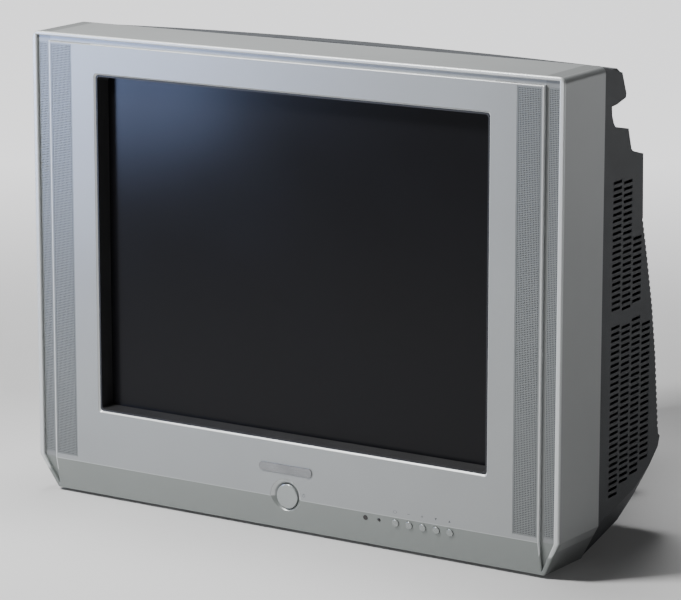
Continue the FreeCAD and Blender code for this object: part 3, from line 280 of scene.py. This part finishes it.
finishes = {
    # The cabinet's silver carries painted highlights and painted shade.
    "silver_paint": sprayed_silver("silver_paint", (0.33, 0.342, 0.343), 0.40, 0.30, cabinet_painted_light),
    "grille_silver": sprayed_silver("grille_silver", (0.215, 0.228, 0.228), 0.42, 0.35),
    "button_silver": sprayed_silver("button_silver", (0.34, 0.36, 0.355), 0.28, 0.5),
}
print("silver finishes:", sorted(finishes))

# %% [markdown]
# ## Moulded plastics and rubber
# The back cover's mould is etched, so its plastic has a leathery grain under half a millimetre; it
# hides flow lines and scratches. Inner plastics are smoother. One recipe serves them all: cells for
# the grain, noise for the tone, and a roughness that is a little higher in the grain's valleys.


# %% Moulded plastic
def moulded(name, dark, light, grain, depth, roughness, specular=0.5):
    """Tone between dark and light by noise; grain cells give the height."""
    plastic = Finish(name)
    pits = plastic.cells(grain)
    cloud = plastic.noise(35.0, 3.0)
    fine = plastic.noise(grain * 2.3, 2.0)
    share = plastic.span(cloud * 0.5 + fine * 0.5, 0.3, 0.7)
    height = pits * 0.7 + fine * 0.3
    return plastic.set(Base_Color=plastic.blend(share, dark, light),
                       Roughness=plastic.span(pits, 0.0, 0.8, roughness - 0.05, roughness + 0.06),
                       Normal=plastic.bump(height, depth, 0.0003), Specular_IOR_Level=specular)


plastics = {
    "charcoal_plastic": ((0.040, 0.043, 0.048), (0.060, 0.064, 0.070), 1500.0, 0.5, 0.58),
    "black_plastic": ((0.010, 0.010, 0.011), (0.018, 0.018, 0.019), 2200.0, 0.25, 0.5),
    "rubber": ((0.014, 0.014, 0.014), (0.026, 0.026, 0.026), 1100.0, 0.4, 0.8, 0.3),
    "white_plastic": ((0.62, 0.60, 0.54), (0.70, 0.68, 0.62), 1800.0, 0.12, 0.42),
    "ring_plastic": ((0.13, 0.035, 0.025), (0.20, 0.06, 0.04), 1800.0, 0.2, 0.5),
    "ferrite": ((0.030, 0.030, 0.033), (0.055, 0.055, 0.058), 1300.0, 0.5, 0.62),
    "red_silicone": ((0.34, 0.028, 0.020), (0.44, 0.045, 0.030), 900.0, 0.15, 0.45),
    "capacitor_sleeve": ((0.012, 0.022, 0.055), (0.020, 0.032, 0.075), 600.0, 0.1, 0.3),
}
for name, recipe in plastics.items():
    finishes[name] = moulded(name, *recipe)
print("plastics:", len(finishes), "finishes so far")

# %% [markdown]
# ## Sheet and turned metals
# Rolled sheet shows fine lines along the rolling direction, and plating shifts its colour in soft
# clouds. Stretching a noise along one axis draws the lines, and the same noise moves the roughness,
# so that highlights break up in the same direction.


# %% Metal with a lay
def metal(name, dark, light, roughness, stretch=(1.0, 1.0, 1.0), lines=900.0, metallic=1.0, depth=0.15):
    """Colour by plating clouds; roughness and height by lines along one axis."""
    sheet = Finish(name)
    lay = sheet.noise(lines, 2.0, stretch)
    cloud = sheet.noise(28.0, 3.0)
    share = sheet.span(cloud * 0.6 + lay * 0.4, 0.3, 0.7)
    return sheet.set(Base_Color=sheet.blend(share, dark, light), Metallic=metallic,
                     Roughness=sheet.span(lay, 0.25, 0.75, roughness - 0.07, roughness + 0.09),
                     Normal=sheet.bump(lay, depth, 0.0001))


metals = {
    "bright_trim": ((0.20, 0.205, 0.21), (0.30, 0.305, 0.31), 0.22, (0.03, 1.0, 1.0), 2500.0),
    "zinc_steel": ((0.42, 0.40, 0.33), (0.58, 0.57, 0.52), 0.36, (1.0, 1.0, 0.06)),
    "spring_steel": ((0.46, 0.46, 0.47), (0.62, 0.62, 0.63), 0.25, (1.0, 0.2, 1.0), 1800.0),
    "gun_metal": ((0.50, 0.49, 0.47), (0.66, 0.65, 0.63), 0.28, (1.0, 0.1, 1.0), 1500.0),
    "aluminium": ((0.60, 0.60, 0.61), (0.76, 0.76, 0.77), 0.34, (1.0, 1.0, 0.04), 1600.0),
    "tin_plate": ((0.52, 0.52, 0.50), (0.70, 0.70, 0.68), 0.30, (0.08, 1.0, 1.0), 700.0),
    "mask_steel": ((0.030, 0.030, 0.033), (0.055, 0.055, 0.060), 0.5, (1.0, 1.0, 0.1), 1200.0, 0.7),
    "black_steel": ((0.012, 0.012, 0.013), (0.024, 0.024, 0.025), 0.42, (1.0, 1.0, 1.0), 1400.0, 0.2),
}
for name, recipe in metals.items():
    finishes[name] = metal(name, *recipe)
print("metals added:", len(finishes), "finishes so far")

# %% [markdown]
# ## The tube's glass
# The picture tube's face is thick tinted glass over a dark phosphor layer. Seen from outside it is
# nearly black and mirrors the room softly, because it carries a fine anti-glare coat. Clear glass
# with everything behind it would be slow and no closer, so the face is a very dark body under a
# smooth coat. Fine upright stripes stand for the phosphor lines, far too fine to see from afar.


# %% Screen glass and smoked windows
def screen_glass():
    """Dark body; stripes of 0.8 mm shift it by a tenth; a coat mirrors the room."""
    glass = Finish("screen_glass")
    stripes = glass.wave(glass.axis("X"), 0.0008)
    smear = glass.noise(6.0, 2.0)
    share = glass.span(stripes * 0.5 + smear * 0.5, 0.1, 0.9)
    return glass.set(Base_Color=glass.blend(share, (0.0040, 0.0040, 0.0050), (0.0056, 0.0056, 0.0070)),
                     Roughness=glass.span(smear, 0.3, 0.7, 0.18, 0.22), IOR=1.52, Specular_IOR_Level=0.14)


def smoked_window():
    """Almost black with a hint of red, glossy, with faint moulding clouds."""
    window = Finish("dark_window")
    cloud = window.noise(400.0, 2.0)
    return window.set(Base_Color=window.blend(cloud, (0.006, 0.004, 0.005), (0.016, 0.009, 0.010)),
                      Roughness=window.span(cloud, 0.3, 0.7, 0.08, 0.14), Coat_Weight=0.5)


def graphite_funnel():
    """Matt graphite paint, brushed on round the axis, over smooth glass."""
    centre = sum(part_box("crt_panel")[side].z for side in (0, 1)) / 2
    funnel = Finish("funnel_glass")
    strokes = funnel.wave(funnel.radius_from(0.0, centre), 0.0021) * 0.5 + funnel.noise(160.0, 3.0) * 0.5
    return funnel.set(Base_Color=funnel.blend(strokes, (0.012, 0.012, 0.013), (0.034, 0.034, 0.036)),
                      Roughness=funnel.span(strokes, 0.2, 0.8, 0.5, 0.72),
                      Normal=funnel.bump(strokes, 0.2, 0.0002))


finishes["screen_glass"] = screen_glass()
finishes["dark_window"] = smoked_window()
finishes["funnel_glass"] = graphite_funnel()
print("glass finishes done")

# %% [markdown]
# ## Boards, windings, tape and paper
# A phenolic circuit board is brown, with green solder mask over a net of copper tracks. A winding
# shows its single wires, the degaussing coil its spiral of tape, and a loudspeaker's cone the fibres
# of its pressed paper. Wires, tape and cloth are waves along the direction the real thing has.


# %% Finishes for boards, coils, paper, cloth and ink
def circuit_board():
    """Green mask on tracks; the tracks follow the edges of scattered cells."""
    board = Finish("circuit_board")
    tracks = board.span(board.cells(170.0, "DISTANCE_TO_EDGE"), 0.03, 0.07)
    fibre = board.noise(900.0, 2.0)
    ground = board.blend(fibre, (0.17, 0.095, 0.035), (0.25, 0.15, 0.06))
    return board.set(Base_Color=board.blend(tracks, (0.05, 0.16, 0.06), ground),
                     Roughness=board.span(tracks, 0.0, 1.0, 0.3, 0.48),
                     Normal=board.bump(1.0 - tracks, 0.3, 0.0001))


def copper_winding():
    """Wires of 0.9 mm side by side along the axis, under brown varnish."""
    winding = Finish("copper_winding")
    wires = winding.wave(winding.axis("Y") + winding.noise(14.0, 1.0) * 0.004, 0.0009)
    return winding.set(Base_Color=winding.blend(wires, (0.16, 0.045, 0.015), (0.55, 0.22, 0.09)),
                       Metallic=0.6, Roughness=winding.span(wires, 0.0, 1.0, 0.45, 0.28),
                       Normal=winding.bump(wires, 0.6, 0.0004))


def coil_tape():
    """Cloth tape wound at a slant: turns every 14 mm, with a fine weave."""
    tape = Finish("coil_tape")
    turns = tape.wave(tape.axis("X") + tape.axis("Z") + tape.axis("Y") * 1.4, 0.014)
    edge = tape.span(turns, 0.0, 0.18)
    weave = tape.wave(tape.axis("X"), 0.0007) * tape.wave(tape.axis("Z"), 0.0007)
    share = edge * 0.7 + weave * 0.3
    return tape.set(Base_Color=tape.blend(share, (0.008, 0.008, 0.009), (0.032, 0.032, 0.034)),
                    Roughness=tape.span(weave, 0.0, 1.0, 0.6, 0.8),
                    Normal=tape.bump(edge + weave * 0.3, 0.5, 0.0004))


def paper_cone():
    """Pressed paper: fibres from noise, and the cloudy tone of felt."""
    paper = Finish("paper_cone")
    fibres = paper.noise(1500.0, 4.0)
    cloud = paper.noise(60.0, 3.0)
    share = fibres * 0.6 + cloud * 0.4
    return paper.set(Base_Color=paper.blend(share, (0.020, 0.019, 0.018), (0.055, 0.052, 0.048)),
                     Roughness=paper.span(fibres, 0.2, 0.8, 0.78, 0.92),
                     Normal=paper.bump(fibres, 0.5, 0.0003))


def speaker_cloth():
    """Black cloth: two crossed waves of 0.6 mm."""
    cloth = Finish("speaker_cloth")
    weave = cloth.wave(cloth.axis("X"), 0.0006) * cloth.wave(cloth.axis("Z"), 0.0006)
    return cloth.set(Base_Color=cloth.blend(weave, (0.004, 0.004, 0.004), (0.018, 0.018, 0.019)),
                     Roughness=cloth.span(weave, 0.0, 1.0, 0.95, 0.8), Normal=cloth.bump(weave, 0.6, 0.0003))


def printed_ink():
    """Dark grey screen-printed ink, a touch thin in places."""
    ink = Finish("printed_ink")
    thin = ink.noise(1800.0, 2.0)
    return ink.set(Base_Color=ink.blend(thin, (0.055, 0.058, 0.062), (0.10, 0.104, 0.11)),
                   Roughness=ink.span(thin, 0.2, 0.8, 0.45, 0.6))


for make in (circuit_board, copper_winding, coil_tape, paper_cone, speaker_cloth, printed_ink):
    finishes[make.__name__] = make()
print("finishes:", len(finishes))

# %% [markdown]
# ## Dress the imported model
# Each node names its slot in the record, so the right finish goes onto its material slots. The
# node itself isn't moved and its mesh isn't touched.

# %% Give every node its finish
for part in frame["record"]["subparts"]:
    piece = nodes[part["node"]]
    for holder in piece.material_slots:
        holder.material = finishes[part["material_slot"]]

# %% [markdown]
# ## From arrays to a piece
# New pieces are worked out as whole numpy arrays of points and faces. This helper turns them into
# an object at the origin, gives it its finish, and lets it ride on a body of the model.


# %% Make an object from arrays
def add_piece(name, points, faces, finish, body="cabinet", smooth=False, slot=None):
    """One mesh from an (n, 3) array of points and the faces, as an (m, 4) array or a list."""
    mesh = bpy.data.meshes.new(name)
    mesh.from_pydata(points.tolist(), [], faces if isinstance(faces, list) else faces.tolist())
    mesh.materials.append(finishes[finish])
    mesh.polygons.foreach_set("use_smooth", np.full(len(mesh.polygons), smooth))
    mesh.update()
    piece = bpy.data.objects.new(name, mesh)
    bpy.context.scene.collection.objects.link(piece)
    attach(piece, body)
    return piece


def grid_faces(rows, columns, close_rows, close_columns):
    """Quads between neighbours of a grid, wrapped round where a direction closes."""
    row = np.arange(rows if close_rows else rows - 1)
    column = np.arange(columns if close_columns else columns - 1)
    i, j = np.meshgrid(row, column, indexing="ij")
    nxt_i, nxt_j = (i + 1) % rows, (j + 1) % columns
    corners = [i * columns + j, nxt_i * columns + j, nxt_i * columns + nxt_j, i * columns + nxt_j]
    return np.stack(corners, -1).reshape(-1, 4)


def slab(low, high):
    """Points and faces of a block between two corners, faces outwards."""
    (x0, y0, z0), (x1, y1, z1) = low, high
    points = np.array([(x, y, z) for x in (x0, x1) for y in (y0, y1) for z in (z0, z1)])
    faces = np.array([(0, 1, 3, 2), (4, 6, 7, 5), (0, 4, 5, 1), (2, 3, 7, 6), (0, 2, 6, 4), (1, 5, 7, 3)])
    return points, faces


def joined(parts):
    """Several (points, faces) as one."""
    offsets = np.cumsum([0] + [len(points) for points, _ in parts[:-1]])
    return (np.concatenate([points for points, _ in parts]),
            np.concatenate([faces + offset for (_, faces), offset in zip(parts, offsets)]))


print("mesh helpers ready")

# %% [markdown]
# ## Perforated grilles
# The four grilles are painted sheet with small round holes in straight rows, in front of black
# cloth. A printed pattern would stay flat, so the holes are real. The sheet is cut into square
# cells, each with one eight-sided hole: a ring of eight quads on the front, eight down the hole's
# wall and eight on the back. Neighbouring cells share their edge points, so the sheet is closed.
# A plain rim frames the holes.

# %% Punch the sheet
hole_pitch = 2.0 * mm
hole_radius = 0.62 * mm
sheet_thickness = 0.6 * mm
rim_width = 1.2 * mm
cloth_setback = 0.7 * mm
corners = 8                   # of a hole


def perforated(low, high):
    """Points and faces of a perforated sheet in the XZ plane.
    Cell centres are whole pitches apart; the outline's points are a square's corners and mid-sides."""
    middle = (low + high) / 2
    columns = int((high[0] - low[0] - rim_width) / hole_pitch)
    rows = int((high[2] - low[2] - rim_width) / hole_pitch)
    across = np.arange(columns) - (columns - 1) / 2
    up = np.arange(rows) - (rows - 1) / 2
    i, j = np.meshgrid(across, up, indexing="ij")
    centres = np.stack([i, j], -1).reshape(-1, 2) * hole_pitch
    turn = np.arange(corners) * 2 * math.pi / corners
    spoke = np.stack([np.cos(turn), np.sin(turn)], -1)
    outline = spoke / np.abs(spoke).max(1, keepdims=True) * hole_pitch / 2
    rings = np.concatenate([outline, spoke * hole_radius])[None] + centres[:, None]
    flat = np.concatenate([rings, rings], 1)
    depth = np.repeat([low[1], low[1] + sheet_thickness], 2 * corners)[None] + np.zeros((len(centres), 1))
    points = np.stack([flat[..., 0] + middle[0], depth, flat[..., 1] + middle[2]], -1).reshape(-1, 3)
    k, n = np.arange(corners), (np.arange(corners) + 1) % corners
    front = np.stack([k, n, n + corners, k + corners], -1)
    wall = np.stack([k + corners, n + corners, n + 3 * corners, k + 3 * corners], -1)
    back = np.stack([k + 2 * corners, k + 3 * corners, n + 3 * corners, n + 2 * corners], -1)
    cell = np.concatenate([front, wall, back])
    faces = (cell[None] + 4 * corners * np.arange(len(centres))[:, None, None]).reshape(-1, 4)
    rounded = np.round(points * 1e7).astype(np.int64)
    _, first, which = np.unique(rounded, axis=0, return_index=True, return_inverse=True)
    return points[first], which.reshape(-1)[faces]


def sheet_rim(low, high):
    """Four plain strips round the border, a hair thicker than the sheet, that reach under the outer cells."""
    front, back = low[1] - 0.02 * mm, low[1] + sheet_thickness + 0.02 * mm
    strips = [(low[0], low[0] + rim_width, low[2], high[2]), (high[0] - rim_width, high[0], low[2], high[2]),
              (low[0] + rim_width, high[0] - rim_width, low[2], low[2] + rim_width),
              (low[0] + rim_width, high[0] - rim_width, high[2] - rim_width, high[2])]
    return [slab((x0, front, z0), (x1, back, z1)) for x0, x1, z0, z1 in strips]


# %% Make the four grilles and their cloth
for name in ("wide_grille_left", "wide_grille_right", "narrow_grille_left", "narrow_grille_right"):
    low, high = (np.array(corner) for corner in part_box(name))
    punched = perforated(low, high)
    grille = add_piece("punched_" + name, *joined([punched] + sheet_rim(low, high)), "grille_silver")
    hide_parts(name)
    behind = slab((low[0], low[1] + cloth_setback, low[2]), (high[0], high[1], high[2]))
    add_piece("cloth_behind_" + name, *behind, "speaker_cloth", slot="paper_cone")
    print(name, "has", len(punched[1]) // (3 * corners), "holes")

# %% [markdown]
# ## The power button's spring
# Behind the round power button a coil spring is squeezed when the button goes in. A helix with a
# steady pitch would stand on its wire's tip, so real springs have dead turns: the pitch is small at
# both ends. The wire's centre line is a helix whose rise has three even slopes, slow, fast and slow,
# and a circle is carried along it.

# %% Wind the spring
spring_low, spring_high = (np.array(corner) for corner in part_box("power_button_spring"))
wire_radius = 0.6 * mm
spring_turns = 6.5
dead_share = 0.18             # of the wire, at each end
dead_rise = 0.09              # of the length, climbed there
stations = 260
wire_sides = 12


def coil_spring(low, high):
    """Centre line: radius * (cos t, sin t), with y from a stepped rise of the turn.
    A circle of the wire's radius is carried along it, and a fan of triangles closes each end."""
    radius = (high[0] - low[0]) / 2 - wire_radius
    centre = (low + high) / 2
    share = np.linspace(0.0, 1.0, stations)
    turn = 2 * math.pi * spring_turns * share
    rise = np.interp(share, [0, dead_share, 1 - dead_share, 1], [0, dead_rise, 1 - dead_rise, 1])
    along = low[1] + wire_radius + rise * (high[1] - low[1] - 2 * wire_radius)
    line = np.stack([centre[0] + radius * np.cos(turn), along, centre[2] + radius * np.sin(turn)], -1)
    out = np.stack([np.cos(turn), np.zeros_like(turn), np.sin(turn)], -1)
    around = np.linspace(0, 2 * math.pi, wire_sides, endpoint=False)
    ahead = np.array([0, 1.0, 0])
    ring = np.cos(around)[None, :, None] * out[:, None] + np.sin(around)[None, :, None] * ahead
    wire = line[:, None] + wire_radius * ring
    caps = [wire[end].mean(0) for end in (0, -1)]
    start_tip, end_tip = stations * wire_sides + np.arange(2)
    k, n = np.arange(wire_sides), (np.arange(wire_sides) + 1) % wire_sides
    last = (stations - 1) * wire_sides
    near_cap = np.stack([k, n, np.full(wire_sides, start_tip)], -1)
    far_cap = np.stack([last + n, last + k, np.full(wire_sides, end_tip)], -1)
    faces = grid_faces(stations, wire_sides, False, True).tolist() + near_cap.tolist() + far_cap.tolist()
    return np.concatenate([wire.reshape(-1, 3), caps]), faces


spring = add_piece("wound_spring", *coil_spring(spring_low, spring_high), "spring_steel", smooth=True)
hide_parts("power_button_spring")
press = next(joint for joint in frame["joints"] if joint["name"] == "power_press")
spring_length = spring_high[1] - spring_low[1]
keep = float((spring_length - max(press["range_m"])) / spring_length)
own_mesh(spring)
print("spring of", spring_turns, "turns keeps", round(keep, 3))

# %% [markdown]
# ## Dark sheets of painted shade behind the vents
# A bright floor would shine through the side vents from one side to the other. A thin dark sheet
# behind each group of slots stops that: it is painted shade, standing in for the dark inside of the
# set. It is an aid to the picture, not a piece such a set is known to have. It follows the wall: x
# shrinks evenly from front to back, as the wall does.

# %% Hang the dark sheets of painted shade
cover_high = np.array(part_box("back_cover")[1])
shade_sheet_start = 10.0 * mm        # behind the shell's back edge
shade_sheet_foot = 60.0 * mm
shade_sheet_head = 432.0 * mm
shade_sheet_foot_rise = 55.0 * mm    # of the lower edge, from front to back
shade_sheet_depth = 92.0 * mm        # at the upper edge
shade_sheet_lean = 0.19              # deeper by this much per metre further down
shade_sheet_most = 138.0 * mm
shade_sheet_inset = 8.0 * mm
wall_draft = 0.08
shade_sheet_thickness = 1.0 * mm


def shade_sheet(way):
    """Sheet with x = way * (half width - inset - draft * depth). Its back edge leans with the cover:
    y = start + share * min(depth + lean * (head - z), most)."""
    rows, columns = 12, 24
    start = cabinet_high[1] + shade_sheet_start
    foot, head = cabinet_low[2] + shade_sheet_foot, cabinet_low[2] + shade_sheet_head
    share, rise = np.meshgrid(np.linspace(0, 1, rows), np.linspace(0, 1, columns), indexing="ij")
    foot_line = foot + share * shade_sheet_foot_rise
    z = foot_line + rise * (head - foot_line)
    y = start + share * np.minimum(shade_sheet_depth + shade_sheet_lean * (head - z), shade_sheet_most)
    x = cover_high[0] - shade_sheet_inset - wall_draft * (y - cabinet_high[1])
    outer = np.stack([way * x, y, z], -1).reshape(-1, 3)
    inner = outer - np.array([way * shade_sheet_thickness, 0, 0])
    sheet = grid_faces(rows, columns, False, False)
    if way > 0:
        sheet = sheet[:, ::-1]
    count = len(outer)
    sides = {(int(face[k]), int(face[(k + 1) % 4])) for face in sheet for k in range(4)}
    border = np.array([(b, a, a + count, b + count) for a, b in sorted(sides) if (b, a) not in sides])
    return np.concatenate([outer, inner]), np.concatenate([sheet, sheet[:, ::-1] + count, border])


# Two dark sheets of painted shade, one inside each side wall.
for side_name, way in (("left", -1), ("right", 1)):
    add_piece("felt_" + side_name, *shade_sheet(way), "speaker_cloth", slot="paper_cone")
print("dark sheets added")

# %% [markdown]
# ## Printed marks
# Small signs tell the buttons apart: a circle with a stroke for power, a framed menu sign, minus and
# plus, and arrows down and up. They are thin flat shapes that stand a few hundredths of a millimetre
# proud of the paint, as ink does. Each is a short list of strokes, and a stroke is a slab or a ring.

# %% Draw the marks
ink_height = 0.04 * mm        # proud of the paint
ink_root = 0.01 * mm          # sunk into it
front_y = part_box("front_cabinet")[0].y


def ring_mark(x, z, outer, inner, squeeze=1.0, count=32):
    """Flat ring: four circles of points, joined front, outside, back and inside."""
    turn = np.linspace(0, 2 * math.pi, count, endpoint=False)
    proud, sunk = front_y - ink_height, front_y + ink_root
    rows = [(inner, proud), (outer, proud), (outer, sunk), (inner, sunk)]
    points = np.stack([np.stack([x + r * np.cos(turn), np.full(count, y), z + r * squeeze * np.sin(turn)], -1)
                       for r, y in rows]).reshape(-1, 3)
    return points, grid_faces(4, count, True, True)


def stroke(x, z, width, tall):
    """Small slab of ink centred on (x, z)."""
    return slab((x - width / 2, front_y - ink_height, z - tall / 2),
                (x + width / 2, front_y + ink_root, z + tall / 2))


def arrow(x, z, size, way):
    """Stack of five strokes that get shorter: an arrowhead pointing up or down."""
    return [stroke(x, z + way * (step - 2) * size / 5, size * (1 - step / 5), size / 5) for step in range(5)]


mark_line = cabinet_low[2] + 45.6 * mm
power_mark_x = 25.6 * mm
button_names = ("menu", "volume_down", "volume_up", "channel_down", "channel_up")
button_boxes = [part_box(name + "_button") for name in button_names]
button_x = [(low.x + high.x) / 2 for low, high in button_boxes]
marks = [ring_mark(button_x[0], mark_line, 2.6 * mm, 2.2 * mm, 0.6),
         stroke(button_x[1], mark_line, 3.0 * mm, 0.5 * mm),
         stroke(button_x[2], mark_line, 3.0 * mm, 0.5 * mm),
         stroke(button_x[2], mark_line, 0.5 * mm, 3.0 * mm)]
marks += arrow(button_x[3], mark_line, 2.6 * mm, -1) + arrow(button_x[4], mark_line, 2.6 * mm, 1)
marks += [ring_mark(power_mark_x, mark_line, 1.9 * mm, 1.5 * mm),
          stroke(power_mark_x, mark_line + 1.6 * mm, 0.4 * mm, 2.0 * mm)]
add_piece("printed_marks", *joined(marks), "printed_ink", slot="black_plastic")
print("marks:", len(marks), "strokes")

# %% [markdown]
# ## Coloured rings on the sound and picture sockets
# Each phono socket has a plastic ring in its own colour: yellow for the picture, white and red for
# the two sound channels. The ring is a circle turned round the socket's axis with a small section.

# %% Fit the rings
socket_low, socket_high = (np.array(corner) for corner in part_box("av_sockets"))
ring_colours = {"yellow": ((0.62, 0.42, 0.02), (0.74, 0.52, 0.04)),
                "white": ((0.66, 0.66, 0.64), (0.76, 0.76, 0.74)),
                "red": ((0.48, 0.02, 0.02), (0.58, 0.04, 0.03))}
socket_pitch = 16.0 * mm
first_socket = (10.0 * mm, 12.4 * mm)


def socket_ring(x, z, back, count=28):
    """Section: a flat ring from 1.9 to 3.6 mm, 0.4 mm proud, its outer edge rounded."""
    section = np.array([(1.9, -0.3), (1.9, 0.35), (2.2, 0.45), (3.2, 0.45), (3.6, 0.2), (3.7, -0.3)]) * mm
    turn = np.linspace(0, 2 * math.pi, count, endpoint=False)
    radius, proud = section[:, :1], section[:, 1:]
    points = np.stack([x + radius * np.cos(turn), back + proud + 0 * turn, z + radius * np.sin(turn)], -1)
    return points.reshape(-1, 3), grid_faces(len(section), count, True, True)[:, ::-1]


for column, (colour, (dark, light)) in enumerate(ring_colours.items()):
    finishes["socket_" + colour] = moulded("socket_" + colour, dark, light, 1800.0, 0.1, 0.35)
    ring_x = socket_low[0] + first_socket[0] + socket_pitch * column
    ring_z = socket_low[2] + first_socket[1]
    rings = [socket_ring(ring_x, ring_z + socket_pitch * row, socket_high[1]) for row in (0, 1)]
    add_piece("socket_rings_" + colour, *joined(rings), "socket_" + colour, smooth=True, slot="white_plastic")
print("socket rings:", 2 * len(ring_colours))

# %% [markdown]
# ## Floor, camera and light
# The set stands on a plain pale floor. The camera looks from the viewer's right and a little from
# above, through a long lens. A soft light from the upper left in front and a weaker one from above
# shape the silver; a bluish panel on the left is what the screen mirrors. The floor glows a little
# far from the set, and most beyond it, so that the background is pale without lighting the front.

# %% Floor
floor_half = 60.0
floor_mesh = bpy.data.meshes.new("floor")
corners = np.array([(-1, -1), (1, -1), (1, 1), (-1, 1)]) * floor_half
floor_z = cad_box[0][2] - 0.0002
floor_mesh.from_pydata([(float(x), float(y), floor_z) for x, y in corners], [], [(0, 1, 2, 3)])
floor = bpy.data.objects.new("floor", floor_mesh)
bpy.context.scene.collection.objects.link(floor)
paper = Finish("floor_paper")
away = paper.axis("X") * paper.axis("X") + paper.axis("Y") * paper.axis("Y")
around = paper.blend(paper.span(away, 0.4, 9.0), (0.015, 0.015, 0.015), (0.30, 0.30, 0.305))
beyond = paper.span(paper.axis("Y") * 0.83 - paper.axis("X") * 0.55, 0.5, 2.4)
paper.set(Base_Color=paper.blend(paper.noise(3.0), (0.60, 0.60, 0.60), (0.64, 0.64, 0.64)), Roughness=0.9,
          Emission_Color=paper.blend(beyond, around, (0.75, 0.75, 0.76)), Emission_Strength=2.0)
floor_mesh.materials.append(paper.material)
print("floor at", round(floor_z, 4))

# %% Camera
lens_data = bpy.data.cameras.new("camera")
lens_data.sensor_width = 36.0
lens_data.lens = 173.9
lens_data.clip_end = 100.0
camera = bpy.data.objects.new("camera", lens_data)
camera.location = (2.1078, -3.2922, 1.0551)
camera.rotation_euler = (math.radians(90 - 11.849), 0.0, math.radians(33.721))
bpy.context.scene.collection.objects.link(camera)
bpy.context.scene.camera = camera
print("camera at", tuple(round(v, 3) for v in camera.location))


# %% Lights
def panel_light(name, place, aim, size, power, colour, spread=180.0):
    """Square soft light that faces a point; a narrow spread keeps it off the floor around."""
    data = bpy.data.lights.new(name, "AREA")
    data.shape = "RECTANGLE"
    data.size, data.size_y = size
    data.energy = power
    data.color = colour
    data.spread = math.radians(spread)
    lamp = bpy.data.objects.new(name, data)
    lamp.location = place
    direction = np.array(aim) - np.array(place)
    yaw = math.atan2(-direction[0], direction[1])
    pitch = math.atan2(direction[2], math.hypot(direction[0], direction[1]))
    lamp.rotation_euler = (math.pi / 2 + pitch, 0.0, yaw)
    lamp.visible_camera = False
    bpy.context.scene.collection.objects.link(lamp)
    return lamp


panel_light("key_light", (-0.8, -1.32, 1.82), (0.0, -0.2, 0.5), (0.5, 0.4), 76.0, (1.0, 0.998, 0.99))
panel_light("top_light", (-0.2, 0.1, 2.2), (0.0, -0.1, 0.5), (0.9, 0.6), 6.5, (1.0, 1.0, 1.0), 70.0)
glow = panel_light("screen_glow", (-1.12, -1.25, 0.44), (-0.2, -0.25, 0.44), (0.46, 0.44), 11.0,
                   (0.42, 0.56, 1.0))
glow.visible_diffuse = False
world = bpy.data.worlds.new("studio")
world.use_nodes = True
world.node_tree.nodes["Background"].inputs["Color"].default_value = (0.93, 0.94, 0.96, 1.0)
world.node_tree.nodes["Background"].inputs["Strength"].default_value = 0.03
bpy.context.scene.world = world
print("lights set")
